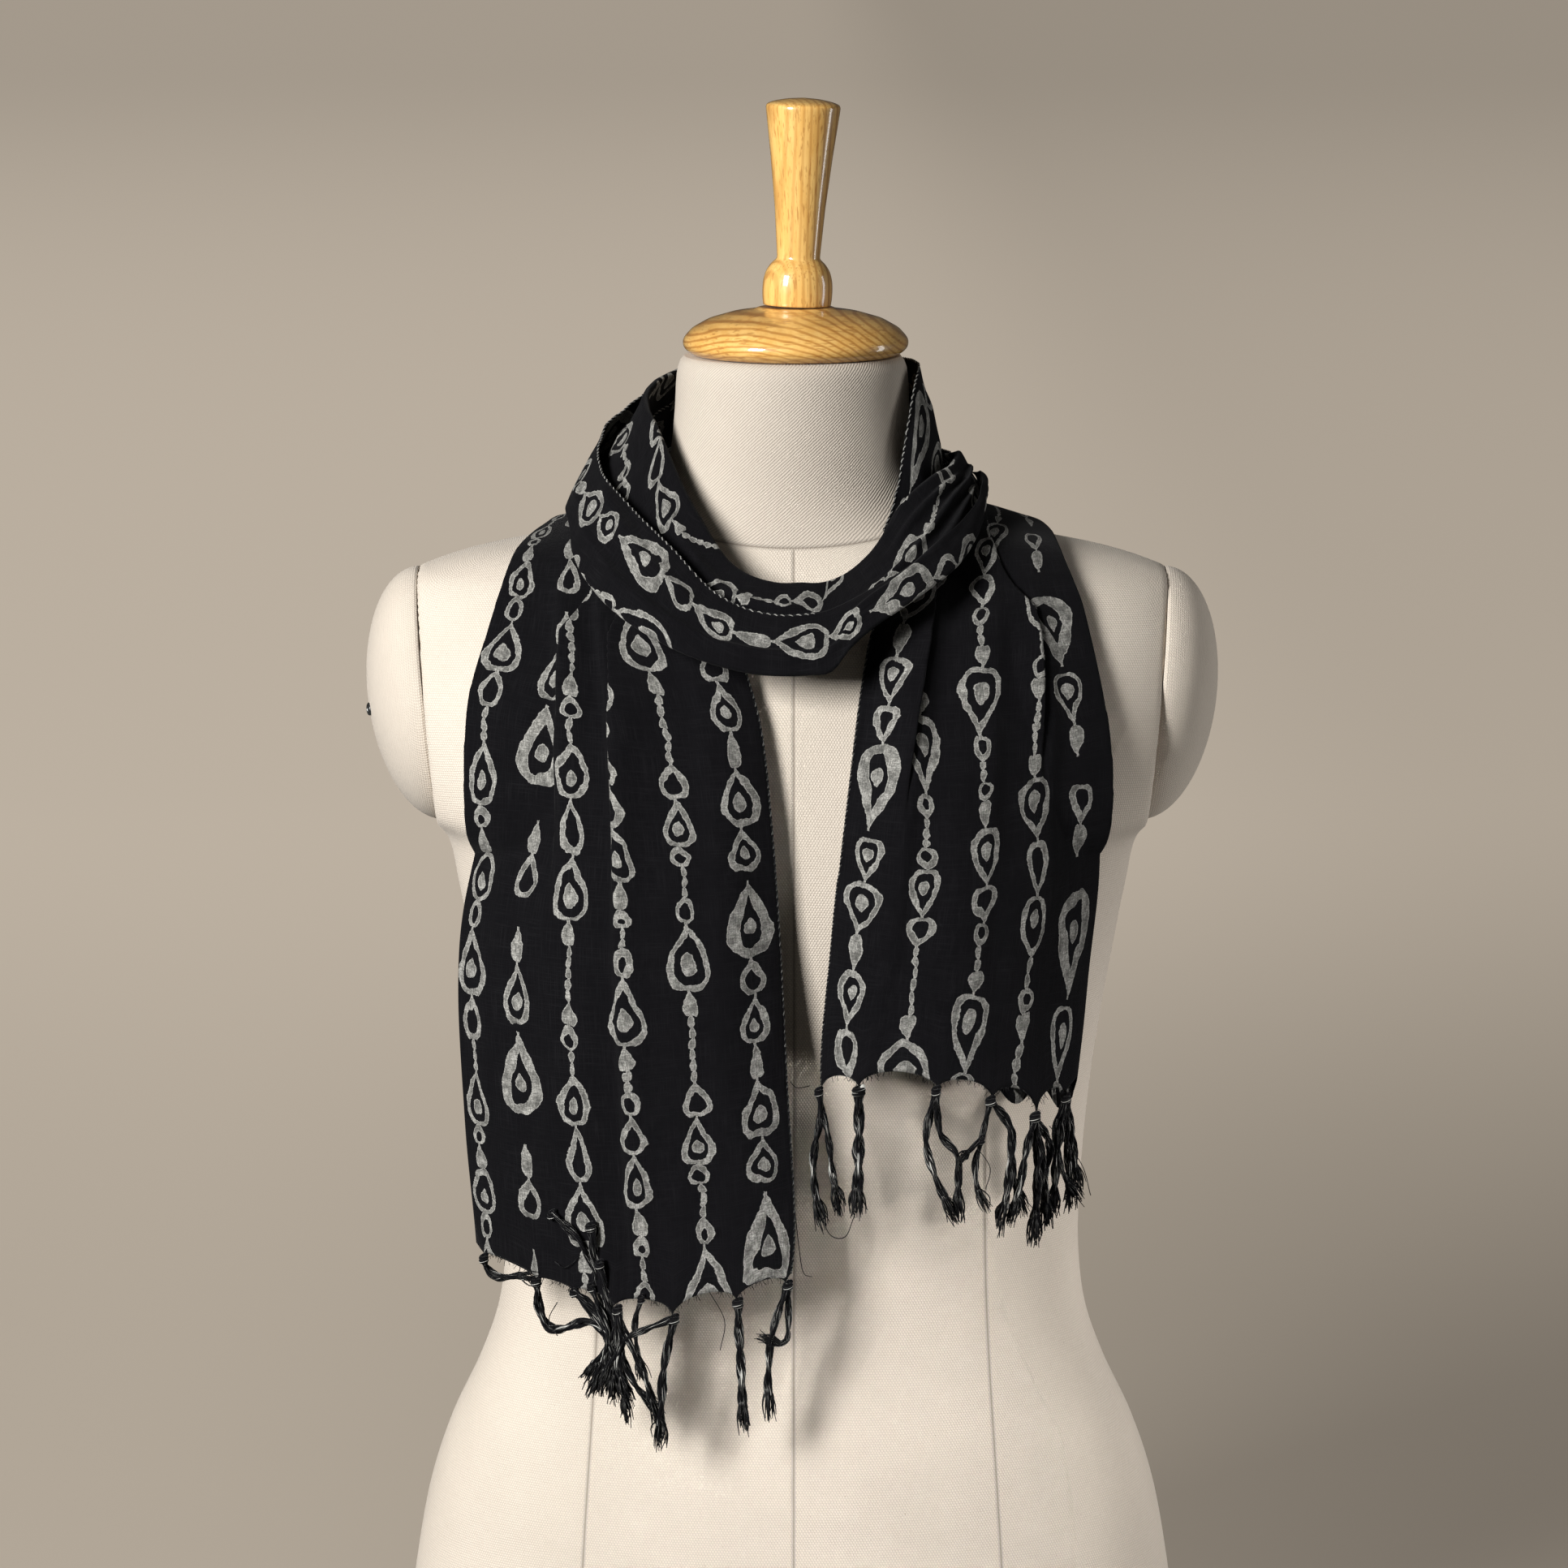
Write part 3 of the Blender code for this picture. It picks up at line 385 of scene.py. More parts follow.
class Threads:
    """Tubes gathered into one mesh, mapped round and along each."""

    def __init__(self):
        self.points, self.faces, self.maps, self.count = [], [], [], 0

    def tube(self, path, radius, sides, phase=0.0):
        tangent = unit(np.gradient(path, axis=0))
        side, sideways = np.cross(tangent[0], THREAD_LEAD), []
        for t in tangent:
            side = unit(side - t * np.dot(side, t))
            sideways.append(side)
        sideways = np.array(sideways)
        turn = TURN * (np.arange(sides) + phase) / sides
        radius = np.broadcast_to(radius, len(path))[:, None, None]
        up = np.cross(tangent, sideways)[:, None]
        rings = path[:, None] + radius * swing(turn[None, :, None], sideways[:, None], up)
        rows, along = len(path), run_length(path) * MM
        across = np.tile(np.arange(sides + 1) / sides + phase, (rows, 1))
        faces, maps = tube_faces(rows, sides, across, np.tile(along[:, None], sides + 1), self.count)
        self.faces += faces
        self.maps += [maps, np.tile((phase, along[-1]), (2 * sides, 1))]
        self.points.append(rings.reshape(-1, 3))
        self.count += rows * sides

    def plies(self, path, radius, pitch):
        """Two plies of four threads each, wound loosely round each other along a path."""
        side, up = across_path(path, THREAD_LEAD)
        turn = (TURN * run_length(path) / pitch)[:, None]
        slack = 1.0 + 0.10 * np.sin(run_length(path) / rng.uniform(3.0, 5.0) + rng.uniform(0, 6))[:, None]
        for k in range(2):
            ply = swing(turn + math.pi * k, side, up)
            for n in range(4):
                spin = -1.3 * turn + TURN * n / 4 + rng.uniform(-0.3, 0.3)
                offset = ply * radius * 0.66 + swing(spin, side, up) * radius * 0.45
                self.tube(path + offset * slack, radius * rng.uniform(0.46, 0.60), 5, phase=rng.random())

    def make(self, name, finish):
        return make_object(name, np.concatenate(self.points), self.faces, np.concatenate(self.maps), finish)


# ---- materials ----
def operation(name):
    """A method that makes a math node of the named operation."""
    return lambda *values: values[0].net.math(name, *values)


class Value:
    """A node's output, with arithmetic on it made as math nodes."""

    __add__, __sub__, __mul__, __truediv__ = map(operation, ("ADD", "SUBTRACT", "MULTIPLY", "DIVIDE"))
    __abs__, sine, least, most = map(operation, ("ABSOLUTE", "SINE", "MINIMUM", "MAXIMUM"))

    def __init__(self, net, socket):
        self.net, self.socket = net, socket

    def __rsub__(self, other):
        return self.net.math("SUBTRACT", other, self)

    def ramp(self, low, high, to_low=0.0, to_high=1.0):
        """Led from low and high to two other ends, smooth between."""
        ends = {"Value": self, "From Min": low, "From Max": high, "To Min": to_low, "To Max": to_high}
        return self.net.node("MapRange", ends, interpolation_type="SMOOTHSTEP")


class Net:
    """Short calls for a material's nodes."""

    def __init__(self, tree):
        self.tree = tree

    def feed(self, socket, value):
        if isinstance(value, Value):
            self.tree.links.new(value.socket, socket)
        else:
            socket.default_value = value

    def node(self, kind, inputs=(), out=0, **settings):
        """One output of a new node with its settings made and its inputs fed."""
        made = self.tree.nodes.new("ShaderNode" + kind)
        for key, value in settings.items():
            setattr(made, key, value)
        for key, value in dict(inputs).items():
            self.feed(made.inputs[key], value)
        return Value(self, made.outputs[out])

    def math(self, operation, *values):
        return self.node("Math", enumerate(values), operation=operation)

    def noise(self, vector, scale, detail=2.0, roughness=0.5, out="Fac"):
        inputs = {"Vector": vector, "Scale": scale, "Detail": detail, "Roughness": roughness}
        return self.node("TexNoise", inputs, out)

    def mix(self, factor, first, second, blend="MIX"):
        return self.node("Mix", {0: factor, 6: first, 7: second}, 2, data_type="RGBA", blend_type=blend)

    def shaded(self, colour, share):
        """A colour times a number."""
        return self.mix(1.0, colour, self.node("CombineColor", dict.fromkeys(range(3), share)), "MULTIPLY")

    def scaled(self, vector, x, y, z=1.0):
        return self.node("Mapping", {"Vector": vector, "Scale": (x, y, z)})

    def sized(self, vector):
        """A vector in metres, in millimetres."""
        return self.node("VectorMath", {0: vector, 1: (1000.0,) * 3}, operation="MULTIPLY")

    def parts(self, vector):
        """The three numbers of a vector."""
        return [self.node("SeparateXYZ", {"Vector": vector}, k) for k in range(3)]


def new_material(name, roughness, **sockets):
    """A Principled material, its net of nodes, and its shader."""
    made = bpy.data.materials.new(name)
    made.use_nodes = True
    shader = made.node_tree.nodes["Principled BSDF"]
    for key, value in dict(sockets, Roughness=roughness).items():
        shader.inputs[key.replace("_", " ")].default_value = value
    return made, Net(made.node_tree), shader


def dress(net, shader, colour, height, distance, strength):
    """Feed a colour and a bump into the shader."""
    net.feed(shader.inputs["Base Color"], colour)
    bump = net.node("Bump", {"Height": height, "Distance": distance, "Strength": strength})
    net.feed(shader.inputs["Normal"], bump)


def drop_group():
    """A node group: how far inside a drop whose tip points to +y a place lies."""
    tree = bpy.data.node_groups.new("drop", "ShaderNodeTree")
    for name in ("x", "y", "length", "width", "point"):
        tree.interface.new_socket(name, in_out="INPUT", socket_type="NodeSocketFloat")
    tree.interface.new_socket("depth", in_out="OUTPUT", socket_type="NodeSocketFloat")
    net = Net(tree)
    given = tree.nodes.new("NodeGroupInput").outputs
    x, y, length, width, point = (Value(net, given[k]) for k in range(5))
    q = (y / length.most(0.01)).most(-1.0).least(1.0)
    taper = net.math("POWER", (1.0 - q) * 0.5, point * 0.5)
    half = width * (net.math("SQRT", 1.0 - q * q) * taper)
    depth = half - abs(x) - (abs(y) - length).most(0.0)
    out = tree.nodes.new("NodeGroupOutput")
    net.feed(out.inputs[0], depth + width.least(0.0))
    return tree


def widest(point):
    """The widest share of a drop of unit width."""
    q = np.linspace(-1, 1, 400)
    return float(np.max(np.sqrt(1 - q * q) * ((1 - q) / 2) ** (point / 2)))


def string_table(string):
    """Stops along one string: (start, (centre, half length, half width), (point, line, core))."""
    words = string.split()
    motifs = [(MOTIFS[kind], int(length)) for kind, length in zip(words[::2], words[1::2])]
    whole = sum(length for _motif, length in motifs)
    stops, at = [], 0.0
    for (width, point, line, core), length in motifs:
        span, full = length / whole, widest(point) * LONGEST
        stops.append((at, (at + span / 2, span * REPEAT / 2 / LONGEST, width / full),
                      (point / SHARPEST, line / full, core)))
        at += span
    return stops


def lookup(net, value, stops, column):
    """A table read as a stepped ramp."""
    read = net.node("ValToRGB", {"Fac": value}, "Color")
    steps = read.socket.node.color_ramp
    steps.interpolation = "CONSTANT"
    while len(steps.elements) > 1:
        steps.elements.remove(steps.elements[-1])
    steps.elements[0].position = 0.0
    steps.elements[0].color = (*stops[0][column], 1.0)
    for row in stops[1:]:
        steps.elements.new(row[0]).color = (*row[column], 1.0)
    return read


def print_depth(net, size):
    """How far inside the ink a place of the cloth lies, in millimetres."""
    slow = net.parts(net.noise(net.scaled(size, 1, 0.6), 0.11, 1.0, out="Color"))
    fine = net.parts(net.noise(size, 0.42, out="Color"))
    u, v = (value + (slow[k] - 0.5) * 5.0 + (fine[k] - 0.5) * 1.5 for k, value in enumerate(net.parts(size)[:2]))
    column = u / PITCH
    number = net.math("FLOOR", column)
    x = (column - number - 0.5) * PITCH
    which = net.math("FLOORED_MODULO", number, float(len(STRINGS)))
    row = net.math("FRACT", v / REPEAT + number * 0.37)
    for k, string in enumerate(STRINGS):
        stops = string_table(string)
        read = [lookup(net, row, stops, part) for part in (1, 2)]
        if k == 0:
            tables = read
            continue
        chosen = net.math("COMPARE", which, float(k), 0.4)
        tables = [net.mix(chosen, *pair) for pair in zip(tables, read)]
    centre, length, width = net.parts(tables[0])
    point, line, core = net.parts(tables[1])
    length, width, point = length * LONGEST, width * LONGEST, point * SHARPEST
    line = line * LONGEST * slow[2].ramp(0.3, 0.7, 0.75, 1.2)
    y = (row - centre) * REPEAT
    group = drop_group()

    def drop(*values):
        return net.node("Group", enumerate(values), node_tree=group)

    whole = drop(x, y, length + 0.3, width, point).most((width * 0.5).least(STEM) - abs(x))
    hollow = drop(x, y + line * 0.35, length - line * 1.05, width - line * 1.25, point)
    heart = drop(x, y + length * 0.22, length * (core * 0.95), width * core, 0.7)
    return whole.least(hollow * -1.0).most(heart)


def cotton_material():
    """Black cotton with a dry grey print of strings of drops, rings and beads."""
    made, net, shader = new_material("printed_cotton", 0.9, Sheen_Weight=0.03, Sheen_Roughness=0.4,
                                     Specular_IOR_Level=0.08)
    size = net.sized(net.node("UVMap", uv_map="cloth"))
    depth = print_depth(net, size)
    brushed = net.noise(net.scaled(size, 1.7, 0.3), 0.9, 2.0, 0.6)
    crossed = net.noise(net.scaled(size, 0.4, 1.5), 0.9, 2.0, 0.6)
    wash = net.noise(size, 0.16, 2.0, 0.6).ramp(0.3, 0.7, 0.20, 0.62)
    wash = wash * brushed.ramp(0.3, 0.65, 0.55, 1.25) * crossed.ramp(0.3, 0.65, 0.6, 1.25)
    wash = wash.most(depth.ramp(0.35, 0.85, 0.85, 0.0) * crossed.ramp(0.25, 0.6, 0.55, 1.0))
    tone = wash * net.noise(size, 1.7, 2.0, 0.7).ramp(0.3, 0.62, 0.45, 1.1)
    chalk = net.mix(tone, (0.03, 0.03, 0.028, 1), (0.53, 0.525, 0.49, 1))
    ends = net.noise(net.scaled(size, 2.6, 0.06), 1.0).ramp(0.45, 0.75)
    picks = net.noise(net.scaled(size, 0.06, 2.6), 1.0).ramp(0.45, 0.75)
    threads = ends.most(picks) * net.noise(size, 0.05, 3.0).ramp(0.3, 0.7, 0.5, 1.0)
    black = net.mix(threads, (0.0028, 0.0027, 0.0036, 1), (0.0085, 0.0083, 0.0096, 1))
    colour = net.mix(depth.ramp(0.0, 0.35), black, chalk)
    u, v, _w = net.parts(size)
    weave = (u * (TURN / 0.42)).sine() * (v * (TURN / 0.46)).sine()
    creases = net.noise(net.scaled(size, 1.0, 0.7), 0.22, 3.0, 0.6)
    dress(net, shader, colour, weave * 0.05 + creases * 0.5, 0.0012, 0.7)
    return made


def canvas_material(name, seams=True):
    """Natural cotton canvas, basket weave on the body and twill on the neck."""
    made, net, shader = new_material(name, 0.92, Sheen_Weight=0.08, Specular_IOR_Level=0.2)
    size = net.sized(net.node("UVMap", uv_map="cloth"))
    place = net.sized(net.node("TexCoord", out="Object"))
    drift = net.noise(size, 0.16)
    u, v, _w = net.parts(size)
    x, y, z = net.parts(place)
    warp = ((u + drift * 0.8) * (math.pi / 0.67)).sine()
    weft = ((v + drift * 0.6) * (math.pi / 1.13)).sine()
    weave = (warp * weft).ramp(-0.6, 0.7) * 0.6 + abs(weft) * 0.4
    thick = net.noise(net.scaled(size, 0.16, 1.2), 1.0).ramp(0.3, 0.75, 0.0, 0.5)
    thin = net.noise(net.scaled(size, 1.2, 0.16), 1.0).ramp(0.3, 0.75, 0.0, 0.5)
    slub = thick + thin
    pale = net.mix(slub, (0.735, 0.652, 0.555, 1), (0.785, 0.705, 0.605, 1))
    pale = net.shaded(pale, net.noise(place, 0.012, 3.0).ramp(0.3, 0.7, 0.95, 1.03))
    fleck = net.noise(size, 0.75, 1.0).ramp(0.76, 0.82, 0.0, 0.55)
    pale = net.mix(fleck, pale, (0.30, 0.20, 0.12, 1))
    if seams:
        turned = net.math("ARCTAN2", x, y * -1.0) * NECK_RADIUS
        diagonal = (turned - z * 1.1) * 0.67 + drift * 0.7
        twill = abs((diagonal * (math.pi / 1.15)).sine())
        level = z - 580.5 - (x * x * 0.0023 + y.ramp(-30.0, 40.0, 0.0, 6.0))
        neck = level.ramp(-0.3, 0.3)
        high = z.ramp(440.0, 445.0) * 50.0
        princess = abs(abs(x) - (z.ramp(270.0, 40.0) * 10.0 + 90.0)) + high
        side = abs(y - 4.0) + abs(x).ramp(110.0, 100.0, 0.0, 50.0) + high
        near = abs(level).least(abs(x - 0.7) + neck * 50.0).least(princess).least(side)
        pale = net.mix(near.ramp(0.1, 0.6, 1.0, 0.0) * 0.5, pale, (0.20, 0.15, 0.11, 1))
        weave = weave * (1.0 - neck) + twill * (neck * 0.8) - near.ramp(0.0, 1.6, 1.0, 0.0) * 1.2
    # The colour darkens where the weave and the seams sink: partly the canvas's own pattern, partly painted shade
    # in its hollows
    painted_weave_shade = weave.ramp(0.0, 0.9, 0.69, 0.945)
    if seams:
        painted_weave_shade = painted_weave_shade * (1.0 - neck * 0.17)
    dress(net, shader, net.shaded(pale, painted_weave_shade), weave + slub * 0.4, 0.0004, 0.6)
    return made


def wood_material(name, stretch, pore_stretch, axis, spread, centre, bend):
    """Varnished honey-coloured hardwood with dark growth lines and short pores."""
    made, net, shader = new_material(name, 0.34, Coat_Weight=1.0, Coat_Roughness=0.05, Coat_IOR=1.42,
                                     Specular_IOR_Level=0.3)
    place = net.node("TexCoord", out="Object")
    grain = net.scaled(place, *stretch)
    moved = net.node("VectorMath", {0: grain, 1: centre}, operation="ADD")
    inputs = {"Vector": moved, "Scale": spread, "Distortion": bend, "Detail": 2.0, "Detail Scale": 0.35}
    rings = net.node("TexWave", inputs, "Fac", wave_type="RINGS", rings_direction=axis).ramp(0.45, 1.0)
    fine = net.noise(net.scaled(place, *pore_stretch), 1150.0, 2.0, 0.6)
    patch = net.noise(grain, 30.0)
    streak = net.noise(grain, 190.0, 4.0, 0.65).ramp(0.3, 0.7)
    honey = net.mix(streak, (0.77, 0.43, 0.115, 1), (0.88, 0.56, 0.185, 1))
    for share, tone in ((patch.ramp(0.4, 0.75, 0.0, 0.5), (0.70, 0.37, 0.09, 1)),
                        (rings * patch.ramp(0.25, 0.6, 0.35, 0.85), (0.46, 0.20, 0.04, 1)),
                        (fine.ramp(0.54, 0.66, 0.0, 0.6), (0.40, 0.165, 0.035, 1))):
        honey = net.mix(share, honey, tone)
    dress(net, shader, honey, fine, 0.0001, 0.25)
    return made


def thread_material(name, dark, light, share, turns):
    """Spun thread: fine strands that run round it, a share of them light."""
    made, net, shader = new_material(name, 0.8, Sheen_Weight=0.05, Specular_IOR_Level=0.06)
    u, v, _w = net.parts(net.node("UVMap", uv_map="cloth"))
    lay = u + v * turns
    strand = net.node("CombineXYZ", {0: lay * 4.0, 1: v * 26.0})
    pick = net.noise(strand, 1.6, 3.0, 0.6).ramp(1.0 - share - 0.06, 1.0 - share + 0.06)
    dress(net, shader, net.mix(pick, dark, light), (lay * (TURN * 6)).sine(), 0.0002, 0.5)
    return made


# ---- the dress form ----
def arm_plane(z):
    """Distance of the armhole plane from the axis at a height."""
    return ARM_PLANE_X + ARM_PLANE_LEAN * (z - ARM_MIDDLE_Z)


def build_torso(rows, columns, finish):
    """The torso, mapped by the run round each ring from the centre front."""
    turn = -TURN * np.arange(columns) / columns + math.pi * 1.5
    cos, sin = np.cos(turn), np.sin(turn)
    grid = np.zeros((rows, columns, 3))
    for i, (z, half, front, back, square) in enumerate(even_rows(TORSO_RINGS, rows, [0, 1])):
        x = half * np.sign(cos) * np.abs(cos) ** (2 / square)
        y = -np.where(sin > 0, front, back) * np.sign(sin) * np.abs(sin) ** (2 / square)
        cup = np.exp(-((np.abs(x) - BUST_X) / BUST_SPREAD_X) ** 2 - ((z - BUST_Z) / BUST_SPREAD_Z) ** 2)
        y -= np.where(sin > 0, BUST_RISE * cup * sin, 0.0)
        if z > ARM_MIDDLE_Z - ARM_HALF_HEIGHT - ARM_TRIM:
            limit = arm_plane(z) - SEAM_GAP
            x = np.clip(x, -limit, limit)
        grid[i] = np.stack((x, y, np.full(columns, z)), axis=1)
    across = run_round(grid)
    across -= across[:, columns // 2][:, None].copy()
    return ring_piece("form_body", grid, across, finish, "torso", "canvas")


def build_caps(rows, columns, finish):
    """The domes that close the two armholes."""
    turn = TURN * np.arange(columns) / columns
    share = np.cos(np.linspace(0, math.pi / 2 - 0.02, rows))[:, None]
    z = ARM_MIDDLE_Z + ARM_HALF_HEIGHT * share * np.sin(turn)
    y = ARM_HALF_DEPTH * share * np.cos(turn)
    x = arm_plane(z) + ARM_BULGE * np.sqrt(1 - share**2)
    for side, name in ((-1, "cap_left"), (1, "cap_right")):
        cap = np.stack((side * x, y, z), axis=2)[:, ::side]
        ring_piece(name, cap, run_round(cap), finish, "arm_" + name, "canvas")


def build_rivet(place):
    """A small metal rivet with a ring round it in the left arm cap's canvas."""
    metal = new_material("rivet_metal", 0.32, Metallic=1.0, Base_Color=(0.35, 0.36, 0.36, 1))[0]
    bpy.ops.mesh.primitive_torus_add(major_radius=0.0025, minor_radius=0.0006, major_segments=32, minor_segments=10)
    ring = bpy.context.object
    bpy.ops.mesh.primitive_uv_sphere_add(radius=0.0018, segments=24, ring_count=12)
    dome = bpy.context.object
    dome.scale = (1.0, 1.0, 0.45)
    for name, piece in (("rivet_ring", ring), ("rivet_dome", dome)):
        piece.name = name
        piece.location = Vector(place) * MM
        piece.rotation_euler = Vector((-1.0, -0.45, 0.0)).to_track_quat("Z", "Y").to_euler()
        piece.data.materials.append(metal)
        bpy.ops.object.select_all(action="DESELECT")
        piece.select_set(True)
        bpy.context.view_layer.objects.active = piece
        bpy.ops.object.transform_apply(location=True, rotation=True, scale=True)
        bpy.ops.object.shade_smooth()
        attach(piece, "root")


def build_turned(name, profile, foot, aside, lean, finish, node):
    """A turned piece with a round, closely stepped section."""
    corners = np.array(profile[::-1], dtype=float)
    path = []
    for a, b in zip(corners[:-1], corners[1:]):
        count = max(2, int(np.linalg.norm(b - a) / 0.8))
        path += [a + (b - a) * k / count for k in range(count)]
    path = np.array(path + [corners[-1]])
    for _pass in range(3):
        middle = (path[:-2] + path[1:-1] * 2 + path[2:]) / 4
        keep = np.abs(path[1:-1, 1] - corners[0, 1]) < 0.01
        middle[keep] = path[1:-1][keep]
        path[1:-1] = middle
    columns, tilt = 96, math.radians(lean)
    turn = TURN * np.arange(columns) / columns
    r, z = path[:, :1], path[:, 1:]
    x, y, z = r * np.cos(turn), r * np.sin(turn), z + 0 * turn
    grid = np.stack((x * math.cos(tilt) + z * math.sin(tilt) + aside, y,
                     z * math.cos(tilt) - x * math.sin(tilt) + foot), axis=2)
    across = np.tile(np.linspace(0, TURN * 20, columns + 1), (len(path), 1))
    ring_piece(name, grid, across, finish, node, "wood")


# ---- the cloth ----
def push_off(grid, clear):
    """Move points straight off the form's skin until they are clear of it."""
    flat = grid.reshape(-1, 3)
    out = flat.copy()
    for n, point in enumerate(flat):
        spot = Vector(point * MM)
        near, normal, _index, _distance = skin.find_nearest(spot)
        if (spot - near).dot(normal) < clear * MM:
            out[n] = np.array(near + normal * clear * MM) / MM
    return out.reshape(grid.shape)


def gather_hem(grid, along, columns, knots):
    """Draw the hem down and together into each of its knots."""
    cloth = run_length(grid[0, :columns])
    front = grid[:, :columns].copy()
    for x, z in knots:
        at = int(np.argmin(np.abs(grid[0, :columns, 0] - x)))
        knot = np.array((x, grid[0, at, 1] - 1.0, z))
        off = np.abs(cloth - cloth[at])[None, :]
        weight = np.exp(-((off / KNOT_WIDTH) ** 1.2)) * np.exp(-((along[:, None] / KNOT_HEIGHT) ** 1.3))
        front += (KNOT_PULL * weight)[..., None] * (knot - front)
    grid[:, :columns] = front


def laid_folds(folds, cloth, whole, z, low, top):
    """Where each point across the cut lies when the folds are laid over, and how far it is lifted."""
    cut = cloth[-1]
    spare = max(0.0, cut - whole) / 2
    place, lift, hidden = cloth.copy(), np.zeros(len(cloth)), 0.0
    for at_hem, at_top, starts, full, part in folds:
        wide = min(LAID_WIDTH, spare * part) * float(ramp(z, starts, full))
        at = (at_hem + (at_top - at_hem) * min(1.0, max(0.0, (z - low) / (top - low)))) * whole + 2 * hidden
        place -= 2 * np.clip(cloth - at, 0.0, wide)
        step = LAID_STEP * min(1.0, wide / 5.0)
        over = np.exp(-((np.minimum(cloth - at + wide, 0.0) / 14.0) ** 2)) * 2 * step
        under = 2 * step - step * np.clip((cloth - at) / max(wide, 0.01), 0, 1)
        rest = step * (1 - np.clip((cloth - at - wide) / max(0.6 * wide, 0.01), 0, 1))
        lift += np.where(cloth < at, over, np.where(cloth < at + wide, under, rest))
        hidden += wide
    place *= whole / max(cut - 2 * hidden, 1.0)
    for _pass in range(2):
        for line in (place, lift):
            line[1:-1] = np.convolve(line, (0.25, 0.5, 0.25), "valid")
    return place, lift


def tail_grid(table, ridges, folds, knots, lobes, side, cut, rows, columns, back_columns):
    """A tail: front layer with laid folds, outer fold and the layer behind."""
    read = even_rows(table, rows, [3, 4, 5])
    t = np.linspace(0, 1, 150)[None, :, None]
    front = push_off(three_point(read[:, None, 0:3], read[:, None, 3:6], read[:, None, 6:9], t), TAIL_CLEAR)
    out = surface_normals(front) * side
    width = np.linalg.norm(front[:, -1] - front[:, 0], axis=1)[:, None]
    share, height, top = t[:, :, 0], front[..., 2], table[-1][2]
    low = min(row[4] for row in ridges)
    rise = np.zeros_like(height)
    for at_hem, at_top, lift, half, fades, full in ridges:
        middle = at_hem + (at_top - at_hem) * np.clip((height - low) / (top - low), 0, 1)
        offset = (share - middle) * width
        steep = half * np.where(offset > 0, 0.45, 1.4)
        rise += lift * np.clip((height - fades) / (full - fades), 0, 1) * np.exp(-((offset / steep) ** 2))
    press = 1 - PRESS_SHARE * ramp(height, PRESS_LOW, PRESS_HIGH)
    soft = ripple(front, (26.0, 26.0, 150.0), 3.0 + side) + 0.5 * ripple(front, (11.0, 11.0, 60.0), 9.0)
    rise += 1.3 * (soft + 0.6)
    base = front + out * (rise * press)[..., None]
    round_fold = np.arange(1, 7)
    turns = math.pi * round_fold[:, None] / 7
    cloth, radius, grid, across = np.linspace(0, cut, columns), LAYER_STEP / 2, [], []
    for i in range(rows):
        run = run_length(base[i])
        whole, z = run[-1], float(np.mean(height[i]))
        place, lift = laid_folds(folds, cloth, whole, z, low, top)
        lift *= 1 - FOLD_PRESS * float(ramp(z, PRESS_LOW, PRESS_HIGH))
        spot = points_at(place, run, base[i])
        shown = spot + unit(points_at(place, run, out[i])) * lift[:, None]
        edge = unit(spot[-1] - spot[-4]) * radius
        bend = spot[-1] + edge * np.sin(turns) - out[i, -1] * radius * (1 - np.cos(turns))
        back = np.linspace(1.0, 1.0 - read[i, 9], back_columns) * whole
        drop = LAYER_STEP + np.interp(back, run, rise[i]) * press[i, 0]
        hidden = points_at(back, run, base[i]) - unit(points_at(back, run, out[i])) * drop[:, None]
        grid.append(np.concatenate((shown, bend, hidden)))
        across.append(np.concatenate((cloth, cut + SIDE_FOLD * round_fold / 7, cut + SIDE_FOLD + back[0] - back)))
    grid, across = np.array(grid), np.array(across)
    grid[:, -back_columns:] = push_off(grid[:, -back_columns:], BODY_CLEAR)
    along = run_length(grid[:, columns // 2])
    gather_hem(grid, along, columns, knots)
    inward = np.linspace(0, 1, back_columns + len(round_fold))
    drop = sum(depth * np.exp(-(((inward - at) / half) ** 2)) for at, depth, half in lobes)
    grid[:, columns:, 2] -= drop[None, :] * np.exp(-along / HEM_HEIGHT)[:, None]
    return grid, across, np.tile(along[:, None], (1, grid.shape[1]))


def polar(angle, r, z):
    """A point at an angle round the neck, 0 at the front, 90 at +X."""
    turn = math.radians(angle)
    return np.array((r * math.sin(turn), -r * math.cos(turn), z))


def offset_path(path, distance):
    """A copy of a section path moved sideways, to its left."""
    along = unit(np.gradient(path, axis=0))
    return path + distance * np.stack((-along[:, 1], along[:, 0]), axis=1)


def fold(start, end, away):
    """Points of a half circle from start to end, bulging away."""
    middle, reach = (start + end) / 2, np.linalg.norm(end - start) / 2
    turns = math.pi * np.arange(1, 6)[:, None] / 6
    return middle + (start - middle) * np.cos(turns) + away * reach * np.sin(turns)


def part_of_path(path, start, end, count):
    """Points of a path between two shares of its points."""
    return points_at(np.linspace(start, end, count) * (len(path) - 1), np.arange(len(path)), path)


def crease_lift(angle, share):
    """How far the creases lift the cowl at an angle, for shares of its height."""
    lift = np.zeros_like(share)
    for start, end, low, high, rise, half in CREASES:
        fade = float(ramp(angle, start, start + 14) * ramp(angle, end, end - 14))
        off = share - (low + (high - low) * (angle - start) / (end - start))
        lift += rise * fade * np.exp(-((off / (half * np.where(off > 0, 0.6, 1.5))) ** 2))
    return lift


